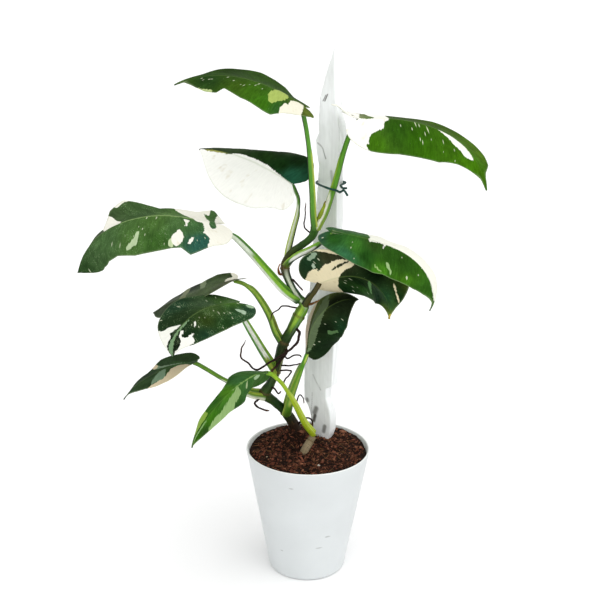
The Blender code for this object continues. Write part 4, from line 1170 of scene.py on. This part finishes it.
def make_scales():
    """Each dry scale: a thin papery strip, curled round its length and torn at its end."""
    for number, (route, (width, depth), bands) in enumerate(SCALES, 1):
        path, shares, turns = course(rows(route), 12, 28)
        taper = 1 - 0.75 * shares
        ragged = 1 + 0.18 * waves(80 + number, shares * 9, np.cos(turns) * 2)
        across = width * taper * np.cos(turns) * ragged
        facing = depth * taper * (0.32 * np.sin(turns) - 0.9 * (np.cos(turns) ** 2 - 0.4))
        points, _ = swept(path, np.stack([across, facing], axis=-1))
        add_tube(f"scale_{number:02d}", f"dry_scale_{number:02d}", bark_skin(), points, path, turns,
                 80, bands)


# Pot and soil


def pot_radius(height):
    return POT_FOOT_RADIUS + (POT_RIM_RADIUS - POT_FOOT_RADIUS) * height / POT_HEIGHT


def inside_pot(height, gap):
    """The radius this far in from the pot's inner wall."""
    return pot_radius(height) - POT_WALL - gap


def straight(start, end, steps):
    """The points between two ends, without the ends."""
    return np.linspace(start, end, steps + 1)[1:-1]


def pot_profile():
    """Radius and height from the middle of the foot, up the outside, over the lip and down to the floor."""
    lip = POT_WALL / 2
    foot = (pot_radius(POT_FOOT_ROUNDING) - POT_FOOT_ROUNDING, POT_FOOT_ROUNDING)
    outside = foot + around(POT_FOOT_ROUNDING, np.radians(np.linspace(-90, 0, 9)))
    over = (POT_RIM_RADIUS - lip, POT_HEIGHT - lip) + around(lip, np.radians(np.linspace(0, 180, 11)))
    ring_width, hollow = POT_FOOT_RING
    ring = outside[0] - (ring_width, 0)
    corner = (inside_pot(POT_FLOOR, 0.5), POT_FLOOR + POT_FLOOR_CORNER[1])
    floor = (corner[0] - POT_FLOOR_CORNER[0], POT_FLOOR)
    return np.vstack([
        straight((POT_MIDDLE, hollow), ring + (0, hollow), 6), ring, outside,
        straight(outside[-1], over[0], 30), over, straight(over[-1], corner, 24), corner,
        floor, straight(floor, (POT_MIDDLE, POT_FLOOR), 6),
    ])


def make_pot():
    """The outline turned round, with the plastic's colour outside, a painted highlight on the lip and painted
    light inside.
    """
    profile, turns = pot_profile(), circle(160)
    radii, heights = profile[:, :1], profile[:, 1:]
    points = np.dstack([around(radii, turns), heights + 0 * turns])
    tint = np.full(points.shape, tuple(settings().pot_colour))
    tint[int(heights.argmax()) + 4:] = INSIDE_PAINTED_LIGHT
    tint[heights[:, 0] > POT_HEIGHT - 0.5] = LIP_HIGHLIGHT
    add_grid("pot_body", points, "pot", pot_plastic(), {"tint": tint})


def soil_top(x, y):
    """The soil's height: higher in the middle and at the back, and heaped round the foot of the stem."""
    mound = MOUND_EDGE + MOUND_HEIGHT * (1 - np.hypot(x, y) ** 2 / POT_RIM_RADIUS**2)
    heap = HEAP_HEIGHT * bell(np.hypot(x - HEAP_PLACE[0], y - HEAP_PLACE[1]), HEAP_REACH)
    crumb = sum(height * waves(seed, x / size, y / size) for seed, height, size in SOIL_WAVES)
    return SOIL_LEVEL + mound + heap + BACK_RISE * soft_step(y, 0, BACK_REACH) + crumb


def make_soil_ground():
    """The uneven top of the soil, and a plain body below it that ends on the pot's floor."""
    turns = circle(150)
    flat = around(np.linspace(inside_pot(SOIL_LEVEL, SOIL_GAP), 0.5, 60)[:, None], turns)
    top = np.dstack([flat, soil_top(flat[..., 0], flat[..., 1])])
    below = ((inside_pot(POT_FLOOR, 4.6), POT_FLOOR + 0.4), (inside_pot(8, 0.8), 8))
    lower = [np.dstack([around(radius, turns), height + 0 * turns]) for radius, height in below]
    points = np.concatenate([*lower, top])
    shade = 1 + 0.35 * waves(8, points[..., 0] / 6, points[..., 1] / 6)
    tint = paint(GROUND_COLOUR) * shade[..., None]
    add_grid("soil_ground", points, "soil", soil_crumb(), {"tint": tint})


def random_spots(chance, count):
    """Places spread evenly over the soil, inside the pot's wall."""
    spots = []
    for _ in range(count):
        radius = inside_pot(SOIL_LEVEL, SCATTER_GAP) * math.sqrt(chance.uniform())
        turn = chance.uniform(0, math.tau)
        spots.append((radius * math.cos(turn), radius * math.sin(turn)))
    return np.array(spots)


def turned(shape, chance, tilt):
    """Points turned by random angles, tilted no further than a limit in radians."""
    spin, lean, tip = chance.uniform(0, math.tau), chance.uniform(-tilt, tilt), chance.uniform(-tilt, tilt)
    turn = Matrix.Rotation(spin, 3, "Z") @ Matrix.Rotation(lean, 3, "X") @ Matrix.Rotation(tip, 3, "Y")
    return shape @ np.array(turn).T


def make_soil_chips():
    """Bark and coco chips scattered over the soil, angular and of many sizes, in one mesh."""
    chance = np.random.default_rng(CHIP_SEED)
    size = settings().chip_size / MM
    chip, chip_faces = rows(CHIP_POINTS), rows(CHIP_FACES).astype(int)
    chips = []
    for x, y in random_spots(chance, settings().chip_count):
        length = size * chance.lognormal(-0.25, 0.42)
        scale = length * np.array([1, chance.uniform(0.5, 0.9), chance.uniform(0.3, 0.6)])
        shape = chip * np.minimum(scale, 2.2 * size) * chance.uniform(0.75, 1.25, chip.shape)
        shape = turned(shape, chance, 0.7) + (x, y, soil_top(x, y) + 0.25 * size)
        colour = paint(CHIP_COLOURS[chance.integers(len(CHIP_COLOURS))])
        chips.append((shape, colour * chance.uniform(0.7, 1.15)))
    for (x, y, grain), colour in coloured_rows(SOIL_GRAINS):
        chips.append((chip * grain + (x, y, soil_top(x, y) + grain), colour))
    points, tints = zip(*chips)
    faces = np.concatenate([chip_faces + k * len(chip) for k in range(len(chips))]).tolist()
    layers = {"tint": np.repeat(tints, len(chip), axis=0)}
    add_piece("soil_chips", points, faces, (), [soil_crumb()], layers, flat=True)


def make_soil_fibres():
    """Thin coco fibres that lie curled among the chips."""
    chance = np.random.default_rng(FIBRE_SEED)
    shares, turns = np.linspace(-0.5, 0.5, 9), circle(5)
    fibres, tints = [], []
    for x, y in random_spots(chance, FIBRE_COUNT) * 0.96:
        length, turn, bow = chance.uniform(5, 13), chance.uniform(0, math.tau), chance.uniform(-2.4, 2.4)
        along, aside = length * shares, bow * (shares * shares * 4)
        x = x + along * math.cos(turn) - aside * math.sin(turn)
        y = y + along * math.sin(turn) + aside * math.cos(turn)
        lift = 1.3 + chance.uniform(0, 1.1) * np.cos(shares * chance.uniform(3, 9))
        if (np.hypot(x, y) >= inside_pot(SOIL_LEVEL, 1.5)).any():
            continue
        reach = chance.uniform(0.16, 0.34) * (1 - 1.4 * np.abs(shares[:, None]) ** 2)
        path = np.stack([x, y, soil_top(x, y) + lift], axis=1)
        fibre, _ = swept(path, around(reach, turns), (0, 0, 1))
        fibres.append(fibre)
        colour = paint(FIBRE_COLOURS[chance.integers(len(FIBRE_COLOURS))])
        tints.append(colour * chance.uniform(0.7, 1.2))
    rings, sides = fibre.shape[:2]
    faces = [face for k in range(len(fibres)) for face in tube_faces(rings, sides, k * rings * sides)]
    layers = {"tint": np.repeat(tints, rings * sides, axis=0)}
    add_piece("soil_fibres", fibres, faces, (), [soil_crumb()], layers)


# Stake and tie


def rounded_board(left, right):
    """A ring of points round the board, its corners rounded: across, and back from the front face."""
    corner = min(STAKE_EDGE, (right - left) / 2.2)
    near, far = corner, STAKE_THICKNESS - corner
    centres = ((right - corner, near), (right - corner, far), (left + corner, far), (left + corner, near))
    bends = [centre + around(corner, np.radians(np.linspace(start, start + 90, 5)))
             for centre, start in zip(centres, (-90, 0, 90, 180))]
    parts = []
    for bend, after, steps in zip(bends, bends[1:] + bends[:1], STAKE_SIDE_STEPS):
        parts += [bend, straight(bend[-1], after[0], steps)]
    return np.vstack(parts)


def crack_field(u, z):
    """How dark each crack of the front face is, falling to 0 beside it."""
    dark = np.zeros(u.shape)
    for route, width, depth in STAKE_CRACKS:
        line = smooth(rows(route), 24)
        away = np.hypot(u[..., None] - line[:, 0], z[..., None] - line[:, 1]).min(-1)
        dark = np.maximum(dark, depth * np.clip(1.6 - away / width * 0.8, 0, 1))
    return dark


def make_stake():
    """The board with its wavy edges, dented paint and cracks. u runs across it, and d back from its front."""
    levels = np.append(np.arange(STAKE_BOTTOM, STAKE_TOP_LEVELS[0], 1.0), STAKE_TOP_LEVELS)
    edges = zip(between(STAKE_LEFT, levels), between(STAKE_RIGHT, levels))
    u, d = np.moveaxis([rounded_board(left, right) for left, right in edges], -1, 0)
    z = levels[:, None] + 0 * u
    dents = 0.35 * waves(21, (u + 10) / 12, d / 9, z / 17) + 0.15 * waves(22, (u + 10) / 4, z / 6)
    dark = crack_field(u, z) * soft_step(-d, -0.6, 0) * soft_step(z, *CRACKED_FROM)
    outward = unit(np.stack([np.gradient(d, axis=1), -np.gradient(u, axis=1)], axis=-1))
    push = STAKE_DENTS * (dents - 0.5 * dark)
    u, d = u + outward[..., 0] * push, d + outward[..., 1] * push
    turn = math.radians(STAKE_TURN)
    across, back = np.array([math.cos(turn), math.sin(turn)]), np.array([-math.sin(turn), math.cos(turn)])
    points = np.dstack([STAKE_CORNER + across * u[..., None] + back * d[..., None], z])
    worn = soft_step(waves(23, u / 7, d / 7, z / 30), 0.2, 0.8)[..., None]
    layers = {"tint": tuple(settings().stake_colour) * (1 - 0.09 * worn), "dark": dark}
    add_grid("stake_board", points, "stake", stake_paint(), layers)


def make_tie():
    """The wire round stake and stalk, its two ends twisted into a knot in front."""
    path, _, turns = course(rows(TIE_ROUTE), 12, 14)
    along = lengths_along(path)
    knot = bell(path[:, :1] - TIE_CROSSING, 3) * (path[:, 1:2] < TIE_FRONT)
    twist = 0.06 * waves(31, along / 4) + 0.25 * knot * np.sin(2 * turns + along * 1.3)
    points, _ = swept(path, around(settings().tie_radius / MM * (1 + twist), turns), (0, 0, 1))
    tint = np.full(points.shape, tuple(settings().tie_colour))
    add_grid("tie_wire", points, "tie", tie_coating(), {"tint": tint})


# What a user may change


class PhilodendronSettings(bpy.types.PropertyGroup):
    """Sizes and colours of the plant, its pot and its stake"""

    pot_colour: bpy.props.FloatVectorProperty(
        name="Pot colour", description="Plastic of the pot", default=(0.66, 0.69, 0.695),
        subtype="COLOR", min=0, max=1)
    stake_colour: bpy.props.FloatVectorProperty(
        name="Stake colour", description="Paint of the stake", default=(0.90, 0.925, 0.92),
        subtype="COLOR", min=0, max=1)
    tie_colour: bpy.props.FloatVectorProperty(
        name="Tie colour", description="Coating of the tie wire", default=(0.008, 0.05, 0.038),
        subtype="COLOR", min=0, max=1)
    leaf_roughness: bpy.props.FloatProperty(
        name="Leaf roughness", description="How matt the upper faces of the leaves are", default=0.38,
        min=0.05, max=1, subtype="FACTOR")
    vein_depth: bpy.props.FloatProperty(
        name="Vein depth", description="How deep the side veins lie in the upper faces", default=0.00016,
        min=0, max=0.0005, unit="LENGTH", precision=5)
    tie_radius: bpy.props.FloatProperty(
        name="Tie radius", description="Half the thickness of the tie wire", default=0.0012, min=0.0005,
        max=0.0013, unit="LENGTH", precision=4)
    chip_size: bpy.props.FloatProperty(
        name="Chip size", description="Half the length of a usual bark chip", default=0.0021, min=0.001,
        max=0.004, unit="LENGTH", precision=4)
    chip_count: bpy.props.IntProperty(
        name="Chip count", description="How many bark chips lie on the soil", default=1700, min=0, max=4000)


def settings():
    return bpy.context.scene.philodendron


# Stage

CAMERA_PLACE = (0, -1.10, 0.683)
CAMERA_TURN = (71.89, 0.54, 0.45)  # up from straight down, then towards the left, then about its own axis
LENS = 63.9
SENSOR_WIDTH = 36
FLOOR_RADII = (0.05, 1, 5, 60)  # metres, so wide that its far edge lies above the picture
WORLD_STRENGTH = 0.64
# Each sun's name, energy, height above the horizon and compass angle from +X
SUNS = (("soft_front", 1.6, 66, -82), ("soft_right", 0.6, 45, -25))
SUN_SIZE = 90


def make_camera():
    """The camera at the photograph's place and angle."""
    lens = bpy.data.cameras.new("photo_camera")
    lens.lens, lens.sensor_width = LENS, SENSOR_WIDTH
    camera = add_object("photo_camera", lens)
    tilt, pan, spin = (math.radians(a) for a in CAMERA_TURN)
    turned_left = Matrix.Rotation(pan, 4, "Z") @ Matrix.Rotation(tilt, 4, "X")
    camera.matrix_world = Matrix.Translation(CAMERA_PLACE) @ turned_left @ Matrix.Rotation(spin, 4, "Z")
    bpy.context.scene.camera = camera


def make_floor():
    """A plain round floor in rings."""
    flat = around(np.array(FLOOR_RADII)[:, None], circle(96))
    points = np.pad(flat, ((0, 0), (0, 0), (0, 1)))
    mesh = bpy.data.meshes.new("studio_floor")
    mesh.from_pydata(points.reshape(-1, 3).tolist(), [], tube_faces(*flat.shape[:2])[:-1])
    mesh.materials.append(studio_floor())
    add_object("studio_floor", mesh)


def make_lights():
    """A white world and broad soft suns."""
    scene = bpy.context.scene
    scene.world = bpy.data.worlds.new("studio_light")
    scene.world.use_nodes = True
    background = scene.world.node_tree.nodes["Background"].inputs
    background["Color"].default_value = (1, 1, 1, 1)
    background["Strength"].default_value = WORLD_STRENGTH
    for name, energy, height, compass in SUNS:
        sun = bpy.data.lights.new(name, "SUN")
        sun.energy = energy
        sun.angle = math.radians(SUN_SIZE)
        add_object(name, sun).rotation_euler = (math.radians(90 - height), 0, math.radians(90 + compass))
    scene.view_settings.view_transform = "Standard"


# Operators, one for each piece or group of like pieces


class AddStage(bpy.types.Operator):
    """Add the pale floor, the soft lights and the camera at the photograph's angle"""

    bl_idname = "philodendron.add_stage"
    bl_label = "Studio"

    def execute(self, context):
        make_camera()
        make_floor()
        make_lights()
        return {"FINISHED"}


class AddPot(bpy.types.Operator):
    """Add the white tapered pot"""

    bl_idname = "philodendron.add_pot"
    bl_label = "Pot"

    def execute(self, context):
        make_pot()
        return {"FINISHED"}


class AddSoil(bpy.types.Operator):
    """Add the soil with its bark chips and coco fibres"""

    bl_idname = "philodendron.add_soil"
    bl_label = "Soil"

    def execute(self, context):
        make_soil_ground()
        make_soil_chips()
        make_soil_fibres()
        return {"FINISHED"}


class AddStake(bpy.types.Operator):
    """Add the white painted stake with its cracks and knots"""

    bl_idname = "philodendron.add_stake"
    bl_label = "Stake"

    def execute(self, context):
        make_stake()
        return {"FINISHED"}


class AddTie(bpy.types.Operator):
    """Add the wire that ties the plant to its stake"""

    bl_idname = "philodendron.add_tie"
    bl_label = "Tie"

    def execute(self, context):
        make_tie()
        return {"FINISHED"}


class AddStem(bpy.types.Operator):
    """Add the main stem and the stub of the older one"""

    bl_idname = "philodendron.add_stem"
    bl_label = "Stem"

    def execute(self, context):
        skin = green_skin("stem_skin", 0.45, 0.65, 0.3)
        make_round_stem("stem", "main_stem", skin, STEM, STEM_BANDS, STEM_STRIPES_AND_SHADE, STEM_NODES, 3)
        make_round_stem("stub", "stem_stub", bark_skin(), STUB, STUB_BANDS, "", STUB_NODES, 4)
        return {"FINISHED"}


class AddLeaves(bpy.types.Operator):
    """Add the eleven marbled leaf blades"""

    bl_idname = "philodendron.add_leaves"
    bl_label = "Leaves"

    def execute(self, context):
        for leaf in LEAVES:
            make_leaf(leaf)
        return {"FINISHED"}


class AddStalks(bpy.types.Operator):
    """Add the leaf stalks with their sheaths"""

    bl_idname = "philodendron.add_stalks"
    bl_label = "Stalks"

    def execute(self, context):
        for stalk, leaf in zip(STALKS, LEAVES):
            make_stalk(stalk, leaf)
        return {"FINISHED"}


class AddRoots(bpy.types.Operator):
    """Add the thin air roots at the nodes of the stem"""

    bl_idname = "philodendron.add_roots"
    bl_label = "Air roots"

    def execute(self, context):
        make_roots()
        return {"FINISHED"}


class AddScales(bpy.types.Operator):
    """Add the dry scales where old leaves fell"""

    bl_idname = "philodendron.add_scales"
    bl_label = "Dry scales"

    def execute(self, context):
        make_scales()
        return {"FINISHED"}


OPERATORS = (AddStage, AddPot, AddSoil, AddStake, AddTie, AddStem, AddLeaves, AddStalks, AddRoots, AddScales)


class PhilodendronPanel(bpy.types.Panel):
    """Lists the pieces of the potted philodendron"""

    bl_idname = "VIEW3D_PT_philodendron"
    bl_label = "Philodendron"
    bl_space_type = "VIEW_3D"
    bl_region_type = "UI"
    bl_category = "Philodendron"

    def draw(self, context):
        column = self.layout.column()
        for title in PhilodendronSettings.__annotations__:
            column.prop(context.scene.philodendron, title)
        for operator in OPERATORS:
            column.operator(operator.bl_idname)


CLASSES = (PhilodendronSettings, *OPERATORS, PhilodendronPanel)


def register():
    for cls in CLASSES:
        bpy.utils.register_class(cls)
    bpy.types.Scene.philodendron = bpy.props.PointerProperty(type=PhilodendronSettings)


def unregister():
    del bpy.types.Scene.philodendron
    for cls in reversed(CLASSES):
        bpy.utils.unregister_class(cls)


def main():
    register()
    for operator in OPERATORS:
        group, name = operator.bl_idname.split(".")
        getattr(getattr(bpy.ops, group), name)()


if __name__ == "__main__":
    main()
